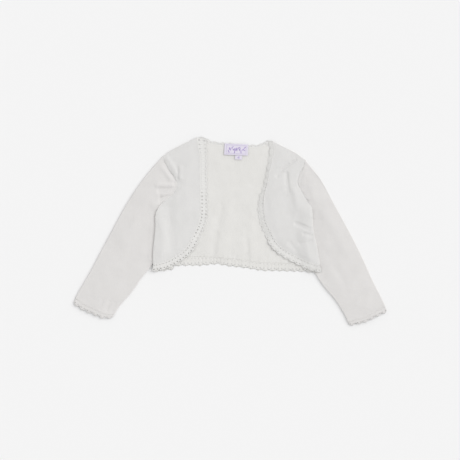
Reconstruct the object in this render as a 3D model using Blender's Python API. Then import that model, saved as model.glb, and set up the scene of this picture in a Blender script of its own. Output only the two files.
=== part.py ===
"""Child's knit bolero cardigan with openwork edging, laid flat with its fronts open over the back.

Sizes are millimetres until a mesh is made. +X runs across the garment, +Y towards its neck and
+Z up from the surface it lies on. Left and right are the sides as seen from above.
"""

from collections import namedtuple

import bmesh
import bpy
import numpy as np

METRES_PER_MM = 0.001

# Cloth and layers
CLOTH = 1.4
SEAM_GAP = 0.3
LABEL_CLOTH = 0.5

# Openwork edging
TRIM_WIDTH = 13.0
TRIM_EXTRA_AT_NECK = 5.0
NECK_TURN = 0.14
CUFF_TRIM_WIDTH = 11.0
SCALLOP = 13.0
SCALLOP_DEPTH = 2.2
NECK_SCALLOP_DEPTH = 1.2
SCALLOP_ROUNDNESS = 0.7
STEPS_PER_SCALLOP = 4

# How the layers rise: sleeves are flattened tubes, and the body lies over their inner folds
SLEEVE_HOLLOW_MIN = 0.6
SLEEVE_HOLLOW_MAX = 3.6
SLEEVE_LOFT = 1.9
SLEEVE_LOFT_AT_SEAM = 0.15
SLEEVE_LOFT_AT_CUFF = 0.4
SLEEVE_LOFT_RUN = 0.15
SLEEVE_CUFF_RUN = 0.2
SLEEVE_CROWN = 0.6
FRONT_LOFT = 1.7
FRONT_LOFT_MIN = 0.3
FRONT_LOFT_MAX = 3.3
EDGE_LOFT = 0.4
BACK_RELIEF_MIN = -0.4
BACK_RELIEF_MAX = 1.3
LIFT = 2.0 * CLOTH + SLEEVE_HOLLOW_MIN + 0.5
LIFT_MARGIN = 2.5
LIFT_RAMP = 24.0
LIFT_HOLD = 9.0
LIFT_RUN = 26.0
EDGE_RISE = 12.0
SEAM_RISE = 4.0
SHOULDER_RISE = 0.1
UNDERARM = 0.32
ARMHOLE_FAN = 0.3
SEAM_FADE = 0.08
CUFF_BOW_START = 0.75

# Panel grids
SIDE_ROWS = 8
ARM_ROWS = 10
FRONT_COLUMNS = 13
BACK_MIDDLE_COLUMNS = 13
BACK_SIDE_COLUMNS = (0.0, 5.0, 10.0, 15.0, 20.0, 26.0, 33.0)
SLEEVE_STATIONS = 16
SLEEVE_STATION_BIAS = 1.3
HEM_CORNER = 0.035

# Label and size tab
LABEL_SIZE = (43.0, 20.5)
LABEL_CENTRE = (11.2, 145.6)
TAB_SIZE = (13.0, 8.0)
TAB_CENTRE = (15.3, 130.6)
LABEL_TILT_DEG = -2.5

# Half: one side of the garment. sign is -1 on the left and +1 on the right; every line is a list
# of (x, y) points of a smooth curve.
Half = namedtuple("Half", "name sign side armhole shoulder edge sleeve_outer sleeve_inner cuff")

LEFT = Half(
    name="left",
    sign=-1,
    side=[(-138, -60), (-138, -35), (-136, -15), (-134, 6), (-134, 22)],
    armhole=[(-134, 22), (-131, 35), (-117, 53), (-102, 67), (-96, 78), (-97, 89), (-108, 109),
             (-122, 132)],
    shoulder=[(-122, 132), (-110, 141), (-88, 153), (-74, 160), (-60, 167)],
    edge=[(-140, -74), (-122, -71), (-103, -64), (-83, -52), (-69, -40), (-54, -13), (-46, 3), (-41, 21),
          (-40, 55), (-41, 109), (-41, 136), (-42, 164)],
    sleeve_outer=[(-122, 132), (-135, 118), (-158, 89), (-182, 53), (-218, -12), (-252, -76), (-277, -120),
                  (-282, -131)],
    sleeve_inner=[(-134, 22), (-127, 4), (-123, -17), (-128, -42), (-139, -60), (-159, -85), (-179, -113),
                  (-199, -136), (-211, -157)],
    cuff=[(-282, -132), (-268, -142), (-247, -151), (-228, -158), (-211, -157)],
)

RIGHT = Half(
    name="right",
    sign=1,
    side=[(161, -60), (155, -26), (150, -3), (148, 17)],
    armhole=[(148, 17), (147, 39), (130, 68), (122, 87), (125, 101), (132, 112), (135, 127)],
    shoulder=[(135, 127), (113, 142), (99, 149), (85, 156), (76, 161)],
    edge=[(164, -76), (152, -74), (126, -64), (104, -53), (88, -43), (73, -29), (61, -6), (53, 12), (49, 33),
          (49, 64), (54, 86), (61, 122), (64, 145), (62, 161)],
    sleeve_outer=[(135, 127), (159, 97), (183, 54), (230, -33), (260, -98), (278, -134), (283, -146)],
    sleeve_inner=[(148, 17), (142, -3), (143, -32), (149, -57), (155, -79), (168, -99), (192, -128),
                  (206, -151), (215, -171)],
    cuff=[(283, -146), (266, -154), (245, -164), (215, -171)],
)

# Back hem: the line where the cloth ends, and the edging's free edge with its turned-down corner
HEM_CLOTH = [(-138, -60), (-100, -50), (-54, -47), (-2, -50), (56, -57), (110, -59), (161, -60)]
HEM_FREE = [(-138, -74), (-117, -72), (-103, -70), (-100, -64), (-86, -63), (-54, -63), (-23, -60), (-2, -64),
            (27, -67), (56, -72), (99, -73), (135, -74), (161, -77)]

# Back neck: the line where the cloth ends, and the free edge of the narrow turn of edging that shows
NECK_CLOTH = [(-58, 159), (-38, 156), (-23, 153.5), (5, 152), (34, 149.8), (56, 151), (74, 154.5)]
NECK_FREE = [(-58, 167), (-47, 168), (-38, 163), (-23, 159), (5, 157), (34, 154), (56, 156), (63, 160),
             (74, 162)]

# Folds: a soft trough (height below 0) or ridge from start to end
Fold = namedtuple("Fold", "start_x start_y end_x end_y half_width height")

FRONT_FOLDS = [
    Fold(-95, 113, -94, 93, 3.0, -1.5),
    Fold(-106, 124, -83, 115, 8.0, -1.0),
    Fold(-108, 42, -108, -35, 10.0, -1.1),
    Fold(-95, 55, -95, -35, 8.0, 1.2),
    Fold(-78, 60, -80, -15, 9.0, 0.9),
    Fold(119, 126, 108, 121, 4.0, -1.3),
    Fold(108, 121, 85, 98, 4.0, -1.4),
    Fold(102, 103, 104, 75, 4.0, -1.5),
    Fold(104, 75, 106, 18, 10.0, -1.1),
    Fold(119, 13, 143, 3, 4.0, -1.6),
    Fold(133, -5, 148, -8, 4.0, -1.1),
    Fold(125, -23, 146, -17, 5.0, -1.0),
    Fold(108, -21, 121, -39, 6.0, -0.9),
    Fold(80, 70, 84, 0, 12.0, 1.1),
]

BACK_FOLDS = [
    Fold(-14, 46, -31, -44, 7.0, -0.4),
    Fold(-2, 50, -14, -40, 9.0, 0.8),
    Fold(31, -12, 32, -48, 4.0, -0.4),
    Fold(40, 10, 44, -45, 7.0, 0.6),
    Fold(-36, 30, -44, -40, 8.0, 0.5),
]

SLEEVE_FOLDS = [
    Fold(-126, 78, -99, 75, 5.0, -1.6),
    Fold(-121, 60, -108, 58, 5.0, -1.8),
    Fold(-128, 92, -104, 100, 9.0, 1.4),
    Fold(-150, 60, -190, -15, 12.0, 1.0),
    Fold(-150, 0, -185, -60, 10.0, -0.7),
    Fold(-222, -128, -212, -146, 4.0, -1.2),
    Fold(140, 100, 150, 60, 8.0, 1.2),
    Fold(142, 66, 158, 20, 8.0, -0.8),
    Fold(175, 30, 205, -30, 12.0, 1.0),
    Fold(175, -40, 205, -95, 10.0, -0.7),
]


def smooth_step(value):
    """0 below 0, 1 above 1 and a soft S between."""
    value = np.clip(value, 0.0, 1.0)
    return value * value * (3.0 - 2.0 * value)


def smooth_line(points, per_span=16):
    """Dense points of a smooth curve through the given points."""
    points = np.array(points, dtype=float)
    knots = np.concatenate([[0.0], np.cumsum(np.linalg.norm(np.diff(points, axis=0), axis=1))])
    slopes = np.gradient(points, knots, axis=0)
    dense = []
    for first in range(len(points) - 1):
        last = first + 1
        span = knots[last] - knots[first]
        for step in range(per_span):
            t = step / per_span
            dense.append((2 * t**3 - 3 * t**2 + 1) * points[first]
                         + (t**3 - 2 * t**2 + t) * span * slopes[first]
                         + (3 * t**2 - 2 * t**3) * points[last]
                         + (t**3 - t**2) * span * slopes[last])
    dense.append(points[-1])
    return np.array(dense)


def along(points, fractions):
    """Points at the given fractions of a smooth curve's length."""
    dense = smooth_line(points)
    run = np.concatenate([[0.0], np.cumsum(np.linalg.norm(np.diff(dense, axis=0), axis=1))])
    wanted = np.asarray(fractions) * run[-1]
    return np.column_stack([np.interp(wanted, run, dense[:, axis]) for axis in (0, 1)])


def line_length(points):
    return np.linalg.norm(np.diff(smooth_line(points), axis=0), axis=1).sum()


def span_patch(bottom, top, left, right):
    """Grid of plan points between four sampled boundary lines that share their corners."""
    across = fractions_of(bottom)
    up = np.linspace(0.0, 1.0, len(left))
    u = across[None, :, None]
    v = up[:, None, None]
    ruled_up = (1 - v) * bottom[None, :, :] + v * top[None, :, :]
    ruled_across = (1 - u) * left[:, None, :] + u * right[:, None, :]
    corners = (1 - u) * (1 - v) * bottom[0] + u * (1 - v) * bottom[-1] + (1 - u) * v * top[0] + u * v * top[-1]
    return ruled_up + ruled_across - corners


def fractions_of(line):
    run = np.concatenate([[0.0], np.cumsum(np.linalg.norm(np.diff(line, axis=0), axis=1))])
    return run / run[-1]


def fold_height(folds, x, y):
    """Sum of the soft troughs and ridges at plan points."""
    total = np.zeros_like(x)
    for fold in folds:
        run = np.array([fold.end_x - fold.start_x, fold.end_y - fold.start_y], dtype=float)
        length = np.linalg.norm(run)
        run /= length
        ahead = (x - fold.start_x) * run[0] + (y - fold.start_y) * run[1]
        aside = (y - fold.start_y) * run[0] - (x - fold.start_x) * run[1]
        beyond = np.maximum(np.maximum(-ahead, ahead - length), 0.0)
        distance = np.hypot(aside, beyond)
        total += fold.height * np.exp(-(distance / fold.half_width) ** 2)
    return total


def line_x(line, y):
    """The x of a line that runs one way in y."""
    dense = smooth_line(line)
    order = np.argsort(dense[:, 1])
    return np.interp(y, dense[order, 1], dense[order, 0])


def tuck_lift(x, y):
    """How far the back and fronts are raised where a sleeve's inner fold lies under them."""
    total = np.zeros_like(x)
    for half in (LEFT, RIGHT):
        inside = half.sign * (line_x(half.sleeve_inner, y) - x) - LIFT_MARGIN
        across = smooth_step(1.0 - inside / LIFT_RAMP)
        above = smooth_step(1.0 - (y - half.side[-1][1] - LIFT_HOLD) / LIFT_RUN)
        total += LIFT * across * above
    return total


def back_top(x, y):
    relief = np.clip(fold_height(BACK_FOLDS, x, y), BACK_RELIEF_MIN, BACK_RELIEF_MAX)
    return tuck_lift(x, y) + CLOTH + relief


def front_under(x, y, rise, seam_rise):
    """Underside of a front; both rises are 0 at the side seam and 1 inside."""
    loft = np.clip(FRONT_LOFT + fold_height(FRONT_FOLDS, x, y), FRONT_LOFT_MIN, FRONT_LOFT_MAX)
    return back_top(x, y) + SEAM_GAP + EDGE_LOFT * seam_rise + loft * rise


def sleeve_hollow(half, x, y, s, t):
    """Height of the hollow in a flattened sleeve, at fraction s down it and t across it."""
    crown = np.sin(np.pi * np.clip(t, 0.0, 1.0)) ** SLEEVE_CROWN
    from_seam = SLEEVE_LOFT_AT_SEAM + (1.0 - SLEEVE_LOFT_AT_SEAM) * smooth_step(s / SLEEVE_LOFT_RUN)
    to_cuff = 1.0 - (1.0 - SLEEVE_LOFT_AT_CUFF) * smooth_step((s - 1.0 + SLEEVE_CUFF_RUN) / SLEEVE_CUFF_RUN)
    tucked = smooth_step(1.0 - half.sign * (x - line_x(half.side, y)) / EDGE_RISE)
    below_arm = smooth_step(1.0 - (y - half.side[-1][1]) / LIFT_RUN)
    free = 1.0 - tucked * below_arm
    loft = SLEEVE_LOFT * from_seam * to_cuff + fold_height(SLEEVE_FOLDS, x, y)
    return np.clip(SLEEVE_HOLLOW_MIN + loft * crown * free, SLEEVE_HOLLOW_MIN, SLEEVE_HOLLOW_MAX)


def panel_side(half):
    """Side seam and armhole of a panel, sampled from the hem to the shoulder."""
    side = along(half.side, np.linspace(0, 1, SIDE_ROWS + 1))
    arm = along(half.armhole, np.linspace(0, 1, ARM_ROWS + 1))
    return np.vstack([side, arm[1:]])


def beside(points, fractions, distance):
    """Points of a smooth curve moved to its left by a distance."""
    fractions = np.asarray(fractions)
    run = along(points, np.clip(fractions + 0.004, 0, 1)) - along(points, np.clip(fractions - 0.004, 0, 1))
    run /= np.linalg.norm(run, axis=1)[:, None]
    leftwards = np.column_stack([-run[:, 1], run[:, 0]])
    return along(points, fractions) + leftwards * (np.zeros(len(fractions)) + distance)[:, None]


def front_edge(half, fractions, inset):
    """Points on a front's free edge, moved inwards by inset."""
    return beside(half.edge, fractions, -half.sign * np.asarray(inset))


def front_cloth_edge(half):
    """Where a front's cloth meets its edging: fractions of the free edge, and the points there."""
    fractions = np.linspace(HEM_CORNER, 1.0, SIDE_ROWS + ARM_ROWS + 1)
    points = front_edge(half, fractions, trim_width(fractions))
    points[-1] = half.shoulder[-1]
    return np.concatenate([[0.0], fractions]), np.concatenate([[half.side[0]], points])


def trim_width(fractions):
    """Width of a front's edging, wider over the last stretch to the neck."""
    return TRIM_WIDTH + TRIM_EXTRA_AT_NECK * smooth_step((np.asarray(fractions) - 1.0 + NECK_TURN) / NECK_TURN)


def scallops(count, depth):
    """How far a scalloped edge falls short of its tips, at each step along it."""
    phase = np.arange(count * STEPS_PER_SCALLOP + 1) / STEPS_PER_SCALLOP
    return depth * (1.0 - np.abs(np.sin(np.pi * phase)) ** SCALLOP_ROUNDNESS)


def scallop_count(length):
    return max(1, round(length / SCALLOP))


def raise_wall(plan, under_z, cloth=CLOTH):
    """Under and over grids of a wall of cloth above plan points."""
    under = np.dstack([plan, under_z])
    over = np.dstack([plan, under_z + cloth])
    return under, over


def wall_solid(name, under, over):
    """Closed solid between two grids."""
    rows, columns = under.shape[:2]
    points = np.concatenate([under.reshape(-1, 3), over.reshape(-1, 3)])
    top = rows * columns

    def at(row, column):
        return row * columns + column

    faces = []
    for row in range(rows - 1):
        for column in range(columns - 1):
            quad = [at(row, column), at(row, column + 1), at(row + 1, column + 1), at(row + 1, column)]
            faces.append(quad[::-1])
            faces.append([top + corner for corner in quad])
    rim = [at(0, column) for column in range(columns)]
    rim += [at(row, columns - 1) for row in range(1, rows)]
    rim += [at(rows - 1, column) for column in range(columns - 2, -1, -1)]
    rim += [at(row, 0) for row in range(rows - 2, 0, -1)]
    for here, ahead in zip(rim, rim[1:] + rim[:1]):
        faces.append([here, ahead, top + ahead, top + here])
    return add_solid(name, points, faces)


def tube_solid(name, outer, inner):
    """Closed solid between two stacks of rings, open at both ends of the tube."""
    stations, ring = outer.shape[:2]
    points = np.concatenate([outer.reshape(-1, 3), inner.reshape(-1, 3)])
    inside = stations * ring
    faces = []
    for station in range(stations - 1):
        for step in range(ring):
            after = (step + 1) % ring
            quad = [station * ring + step, station * ring + after,
                    (station + 1) * ring + after, (station + 1) * ring + step]
            faces.append(quad)
            faces.append([inside + corner for corner in quad[::-1]])
    for station in (0, stations - 1):
        for step in range(ring):
            here = station * ring + step
            ahead = station * ring + (step + 1) % ring
            faces.append([here, ahead, inside + ahead, inside + here])
    return add_solid(name, points, faces)


def add_solid(name, points, faces):
    """Mesh object in metres, with its faces turned outwards."""
    mesh = bpy.data.meshes.new(name)
    mesh.from_pydata((points * METRES_PER_MM).tolist(), [], faces)
    work = bmesh.new()
    work.from_mesh(mesh)
    bmesh.ops.recalc_face_normals(work, faces=work.faces)
    bmesh.ops.triangulate(work, faces=work.faces)
    work.to_mesh(mesh)
    work.free()
    mesh.shade_smooth()
    solid = bpy.data.objects.new(name, mesh)
    bpy.context.scene.collection.objects.link(solid)
    return solid


def finish(solid, colour, roughness):
    """Give a solid its own cloth material."""
    material = bpy.data.materials.new(solid.name)
    material.use_nodes = True
    shader = material.node_tree.nodes["Principled BSDF"]
    shader.inputs["Base Color"].default_value = (*colour, 1.0)
    shader.inputs["Roughness"].default_value = roughness
    shader.inputs["Metallic"].default_value = 0.0
    solid.data.materials.append(material)


def back_lines():
    """Hem and top of the back's cloth, the top running over one shoulder, the neck and the other."""
    edge = np.array(BACK_SIDE_COLUMNS) / (RIGHT.side[0][0] - LEFT.side[0][0])
    middle = np.linspace(edge[-1], 1 - edge[-1], BACK_MIDDLE_COLUMNS + 1)[1:-1]
    columns = np.concatenate([edge, middle, 1 - edge[::-1]])
    top = along(LEFT.shoulder[:-1] + NECK_CLOTH + RIGHT.shoulder[:-1][::-1], columns)
    return along(HEM_CLOTH, columns), top


def make_back():
    hem, top = back_lines()
    plan = span_patch(hem, top, panel_side(LEFT), panel_side(RIGHT))
    x, y = plan[..., 0], plan[..., 1]
    under, over = raise_wall(plan, tuck_lift(x, y))
    over[..., 2] = back_top(x, y)
    return wall_solid("back", under, over)


def make_front(half):
    left = panel_side(half)
    right = front_cloth_edge(half)[1][1:]
    columns = np.linspace(0.0, 1.0, FRONT_COLUMNS + 1)
    bottom = left[0] + columns[:, None] * (right[0] - left[0])
    plan = span_patch(bottom, along(half.shoulder, columns), left, right)
    widths = np.linalg.norm(plan[:, -1] - plan[:, 0], axis=1)[:, None]
    u = columns[None, :]
    v = np.linspace(0.0, 1.0, len(left))[:, None]
    rise = smooth_step(u * widths / EDGE_RISE) * smooth_step((1 - u) * widths / EDGE_RISE)
    rise = rise * smooth_step((1 - v) / SHOULDER_RISE)
    seam_rise = smooth_step(u * widths / SEAM_RISE)
    under, over = raise_wall(plan, front_under(plan[..., 0], plan[..., 1], rise, seam_rise))
    return wall_solid("front_" + half.name, under, over)


def make_front_trim(half):
    length = line_length(half.edge)
    count = scallop_count(length)
    fractions = np.linspace(0.0, 1.0, count * STEPS_PER_SCALLOP + 1)
    cloth_fractions, cloth_points = front_cloth_edge(half)
    cloth = np.column_stack([np.interp(fractions, cloth_fractions, cloth_points[:, axis]) for axis in (0, 1)])
    outer = front_edge(half, fractions, scallops(count, SCALLOP_DEPTH))
    outwards = outer - cloth
    outwards /= np.linalg.norm(outwards, axis=1)[:, None]
    inner = cloth + outwards * SEAM_GAP
    plan = np.stack([inner, 0.5 * (inner + outer), outer])
    x, y = plan[..., 0], plan[..., 1]
    under, over = raise_wall(plan, back_top(x, y) + SEAM_GAP + EDGE_LOFT)
    return wall_solid("trim_front_" + half.name, under, over)


def make_hem_trim():
    hem = back_lines()[0]
    count = scallop_count(line_length(HEM_CLOTH))
    x = np.linspace(hem[0, 0], hem[-1, 0], count * STEPS_PER_SCALLOP + 1)
    inner = np.column_stack([x, np.interp(x, hem[:, 0], hem[:, 1]) - SEAM_GAP])
    free_x, free_y = np.array(HEM_FREE).T
    outer = np.column_stack([x, np.interp(x, free_x, free_y) + scallops(count, SCALLOP_DEPTH)])
    plan = np.stack([inner, 0.5 * (inner + outer), outer])
    under, over = raise_wall(plan, tuck_lift(plan[..., 0], plan[..., 1]))
    return wall_solid("trim_hem", under, over)


def make_neck_trim():
    top = back_lines()[1]
    count = scallop_count(line_length(NECK_FREE))
    fractions = np.linspace(0.0, 1.0, count * STEPS_PER_SCALLOP + 1)
    outer = along(NECK_FREE, fractions)
    inner = np.column_stack([outer[:, 0], np.interp(outer[:, 0], top[:, 0], top[:, 1]) + SEAM_GAP])
    outer[:, 1] -= scallops(count, NECK_SCALLOP_DEPTH)
    plan = np.stack([inner, outer])
    under, over = raise_wall(plan, np.zeros(plan.shape[:2]))
    return wall_solid("trim_neck", under, over)


def sleeve_place(half):
    """Function from (s, t) to plan points of a sleeve.

    s runs from the armhole seam to the cuff and t from the outer fold to the inner fold. Slices
    run straight across from the outer fold to the armhole seam and, below the underarm, to the
    inner fold; near the seam the points fan out along it.
    """
    seam = half.armhole[::-1]
    cuff = np.array(half.cuff, dtype=float)

    def inner_line(w):
        on_seam = along(seam, np.clip(w / UNDERARM, 0.0, 1.0))
        on_fold = along(half.sleeve_inner, np.clip((w - UNDERARM) / (1.0 - UNDERARM), 0.0, 1.0))
        return np.where((w < UNDERARM)[:, None], on_seam, on_fold)

    def place(s, t):
        t = np.asarray(t, dtype=float)
        w = UNDERARM * t * (1.0 - s) + s
        fan = np.minimum(1.0, s / ARMHOLE_FAN)
        slice_t = np.where(t > 0.0, np.maximum(t, 1e-9) ** fan, 0.0)[:, None]
        plan = (1.0 - slice_t) * along(half.sleeve_outer, w) + slice_t * inner_line(w)
        off_seam = beside(seam, t, half.sign * SEAM_GAP) - along(seam, t)
        bow = along(half.cuff, t) - (cuff[0] + t[:, None] * (cuff[-1] - cuff[0]))
        near_cuff = smooth_step((s - CUFF_BOW_START) / (1.0 - CUFF_BOW_START))
        return plan + off_seam * max(0.0, 1.0 - s / SEAM_FADE) + bow * near_cuff

    return place


def tube_rings(half, place, stations, across, heights_at):
    """Outer and inner rings of a flattened tube, each from its outer fold over to its inner fold.

    across are the fractions of the points between the folds, and heights_at gives for each
    station the fraction s at which its height is taken.
    """
    fold_radius = CLOTH + 0.5 * SLEEVE_HOLLOW_MIN
    hollow_radius = 0.5 * SLEEVE_HOLLOW_MIN
    corner = np.sqrt(0.5)
    rise = np.concatenate([[0.0, corner, 1.0], np.ones(len(across)), [1.0, corner, 0.0]])
    outer_rings = []
    inner_rings = []
    for s, height_at in zip(stations, heights_at):
        for rings, radius, start in ((outer_rings, fold_radius, 0.0), (inner_rings, hollow_radius, CLOTH)):
            insets = start + radius * np.array([0.0, 1.0 - corner, 1.0])
            plan = np.concatenate([fold_points(place, s, 0.0, across[0], insets), place(s, across),
                                   fold_points(place, s, 1.0, across[-1], insets)[::-1]])
            t = np.concatenate([[0.0, 0.01, 0.02], across, [0.98, 0.99, 1.0]])
            hollow = sleeve_hollow(half, plan[:, 0], plan[:, 1], height_at, t)
            crest = hollow - SLEEVE_HOLLOW_MIN
            top = fold_radius + rise * (radius + crest)
            low = fold_radius - rise * radius
            upper = np.column_stack([plan, top])
            lower = np.column_stack([plan, low])[1:-1][::-1]
            rings.append(np.concatenate([upper, lower]))
    return np.array(outer_rings), np.array(inner_rings)


def fold_points(place, s, end, neighbour, insets):
    """Plan points in from a fold by the insets, on the way to its neighbour."""
    near = place(s, np.array([end, neighbour]))
    run = near[1] - near[0]
    run /= np.linalg.norm(run)
    return near[0] + insets[:, None] * run


def make_sleeve(half):
    last = 1.0 - (CUFF_TRIM_WIDTH + SEAM_GAP) / line_length(half.sleeve_outer)
    stations = last * np.linspace(0.0, 1.0, SLEEVE_STATIONS) ** SLEEVE_STATION_BIAS
    across = np.linspace(0.0, 1.0, ARM_ROWS + 1)[1:-1]
    outer, inner = tube_rings(half, sleeve_place(half), stations, across, stations)
    return tube_solid("sleeve_" + half.name, outer, inner)


def make_cuff_trim(half):
    first = 1.0 - CUFF_TRIM_WIDTH / line_length(half.sleeve_outer)
    count = scallop_count(line_length(half.cuff))
    across = np.linspace(0.0, 1.0, count * STEPS_PER_SCALLOP + 1)[1:-1]
    stations = [first, 0.5 * (1.0 + first), 1.0]
    outer, inner = tube_rings(half, sleeve_place(half), stations, across, [first] * len(stations))
    for rings in (outer, inner):
        down = rings[2] - rings[0]
        down[:, 2] = 0.0
        down /= np.linalg.norm(down, axis=1)[:, None]
        chord = np.array(half.cuff[-1], dtype=float) - half.cuff[0]
        across_cuff = np.clip((rings[2][:, :2] - half.cuff[0]) @ chord / (chord @ chord), 0.0, 1.0)
        short = SCALLOP_DEPTH * (1.0 - np.abs(np.sin(np.pi * count * across_cuff)) ** SCALLOP_ROUNDNESS)
        rings[2] -= down * short[:, None]
    return tube_solid("trim_cuff_" + half.name, outer, inner)


def make_tag(name, centre, size):
    """Small woven rectangle lying on the back's inner face."""
    tilt = np.radians(LABEL_TILT_DEG)
    columns = np.linspace(-0.5, 0.5, 5) * size[0]
    rows = np.linspace(-0.5, 0.5, 3) * size[1]
    across, up = np.meshgrid(columns, rows)
    x = centre[0] + across * np.cos(tilt) - up * np.sin(tilt)
    y = centre[1] + across * np.sin(tilt) + up * np.cos(tilt)
    under, over = raise_wall(np.dstack([x, y]), back_top(x, y) + SEAM_GAP, LABEL_CLOTH)
    return wall_solid(name, under, over)


def main():
    for item in list(bpy.data.objects):
        bpy.data.objects.remove(item)
    knit = (0.77, 0.76, 0.745)
    lace = (0.80, 0.795, 0.78)
    woven = (0.72, 0.68, 0.80)
    finish(make_back(), knit, 0.9)
    for half in (LEFT, RIGHT):
        finish(make_front(half), knit, 0.9)
        finish(make_sleeve(half), knit, 0.9)
        finish(make_front_trim(half), lace, 0.85)
        finish(make_cuff_trim(half), lace, 0.85)
    finish(make_hem_trim(), lace, 0.85)
    finish(make_neck_trim(), lace, 0.85)
    finish(make_tag("label", LABEL_CENTRE, LABEL_SIZE), woven, 0.6)
    finish(make_tag("size_tab", TAB_CENTRE, TAB_SIZE), woven, 0.6)


main()
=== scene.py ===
"""Child's knit bolero cardigan laid flat: knit panels, openwork edging, seams, woven label and light.

Lengths are millimetres until a mesh is made. +X runs across the garment, +Y towards its neck and
+Z up from the surface it lies on. Left and right are the sides as seen from above.
"""

from collections import namedtuple
from functools import lru_cache

import bmesh
import bpy
import numpy as np
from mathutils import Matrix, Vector


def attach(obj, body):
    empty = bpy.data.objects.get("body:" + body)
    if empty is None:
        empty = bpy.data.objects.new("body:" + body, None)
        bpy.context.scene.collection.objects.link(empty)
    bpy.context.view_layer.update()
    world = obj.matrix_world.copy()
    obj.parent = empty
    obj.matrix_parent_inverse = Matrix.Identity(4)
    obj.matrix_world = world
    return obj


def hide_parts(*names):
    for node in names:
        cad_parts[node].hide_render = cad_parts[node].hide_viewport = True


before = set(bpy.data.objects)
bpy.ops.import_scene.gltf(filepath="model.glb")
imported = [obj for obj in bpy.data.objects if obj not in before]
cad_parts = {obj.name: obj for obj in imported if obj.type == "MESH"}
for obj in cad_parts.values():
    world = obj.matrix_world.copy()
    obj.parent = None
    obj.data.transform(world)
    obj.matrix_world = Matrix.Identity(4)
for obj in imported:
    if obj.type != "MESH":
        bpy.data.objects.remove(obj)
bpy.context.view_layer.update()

METRES_PER_MM = 0.001

# Cloth and layers
CLOTH = 1.4
SEAM_GAP = 0.3
LABEL_CLOTH = 0.5
LACE_CLOTH = 1.0
LACE_THINNING = 0.75

# Openwork edging
TRIM_WIDTH = 13.0
TRIM_EXTRA_AT_NECK = 5.0
NECK_TURN = 0.14
NECK_TRIM_WIDTH = 5.5
CUFF_TRIM_WIDTH = 11.0
SCALLOP = 13.0
SCALLOP_DEPTH = 2.2
NECK_SCALLOP_DEPTH = 1.8
CUFF_SCALLOP_DEPTH = 3.4
SCALLOP_ROUNDNESS = 0.7
LACE_OVERLAP = 0.9
SEAM_FLUSH = 2.5
LACE_WAVE = 0.12
HEM_FLUTE = 0.2
TIP_LIFT = 0.5
CORNER_SAG = 0.45
LACE_ROUND = 0.5
LACE_SET_IN = 0.04
LACE_WAVE_RUN = 2.7
DEEPEST_WAVE = -0.1
DROP_START = 0.8

# Rows of eyelets: where each starts, ends and has its centre, as amounts across the edging
LACE_ROWS = ((0.0, 0.5, 0.25), (0.5, 1.0, 0.78))
NECK_ROWS = ((0.0, 1.0, 0.5),)

# Yarns: a twist is (ply, pitch). The edging has a twist on its free edge, a chain of loops on its
# seam, a loop at each tip, and ribs.
EDGE_TWIST = (0.12, 1.8)
ARMHOLE_TWIST = (0.32, 2.2)
SEAM_TWIST = (0.3, 2.4)
SLEEVE_TWIST = (0.24, 2.2)
CHAIN_PITCH = 2.0
CHAIN_WIDTH = 0.45
CHAIN_YARN = 0.19
CHAIN_SINK = 0.1
TIP_YARN = 0.2
TIP_LOOP = (0.75, 0.6)
TIP_OUT = 0.4
RIB_YARN = 0.14
RIB_START = 0.02
RIB_SHORTENING = 0.1
RIB_SPREAD = 0.125
RIB_GAP = 0.012
RIB_HEIGHT = 0.4
LOOP_TURN = np.linspace(0.0, 2 * np.pi, 10, endpoint=False)

# Eyelets: a usual radius, the shares of it in the rows next to the cloth and next to the free edge,
# and how far from an eyelet's rim the net has rings of points
EYELET = 1.0
HEM_EYELETS = (0.35, 0.8)
CUFF_EYELETS = (0.3, 0.7)
NECK_EYELETS = (0.7, 0.7)
EYELET_UNEVENNESS = 0.12
EYELET_RINGS = (0.0, 0.16, 0.42)
FAR_FROM_RIM = 2.0

# How the layers rise: sleeves are flattened tubes, and the body lies over their inner folds
SLEEVE_HOLLOW_MIN = 0.6
SLEEVE_HOLLOW_MAX = 3.6
SLEEVE_LOFT = 1.9
SLEEVE_LOFT_AT_SEAM = 0.15
SLEEVE_LOFT_AT_CUFF = 0.4
SLEEVE_LOFT_RUN = 0.15
SLEEVE_CUFF_RUN = 0.2
SLEEVE_CROWN = 0.6
FRONT_LOFT = 1.7
FRONT_LOFT_MIN = 0.3
FRONT_LOFT_MAX = 3.3
EDGE_LOFT = 0.4
BACK_RELIEF_MIN = -0.4
BACK_RELIEF_MAX = 1.3
LIFT = 2.0 * CLOTH + SLEEVE_HOLLOW_MIN + 0.5
LIFT_MARGIN = 2.5
LIFT_RAMP = 24.0
LIFT_HOLD = 9.0
LIFT_RUN = 26.0
SEAM_RISE = 4.0
SHOULDER_RISE = 0.1
UNDERARM = 0.32
ARMHOLE_FAN = 0.3
SEAM_FADE = 0.08
CUFF_BOW_START = 0.75
PRESSED_BESIDE = 6.0
PRESSED_ABOVE = 10.0
SIDE_ROWS = 8
ARM_ROWS = 10
HEM_CORNER = 0.035

# Seams: how high the armhole's yarn lies in the cloth, how far it sinks in the crease, and the
# stretch of the sleeve's inner fold that its seam takes, all as shares
ARMHOLE_YARN_HEIGHT = 0.8
ARMHOLE_YARN_SINK = 0.6
SLEEVE_SEAM_SPAN = (0.01, 0.93)

# Label and size tab
LABEL_SIZE = (43.0, 20.5)
LABEL_CENTRE = (11.2, 145.6)
TAB_SIZE = (13.0, 8.0)
TAB_CENTRE = (15.3, 131.4)
LABEL_TILT_DEG = -2.5
LABEL_STAND = 0.9
TAB_STAND = 0.3
LABEL_FOLD = 2.6
TAB_FOLD = 1.4
TAG_CELL = 0.7
TAG_BOW = 0.35
TAG_FACE = 0.15
FOLD_EDGE = 0.8
FOLD_FULLNESS = 0.5
TAPE_THREAD = (0.42, 0.5)

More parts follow.
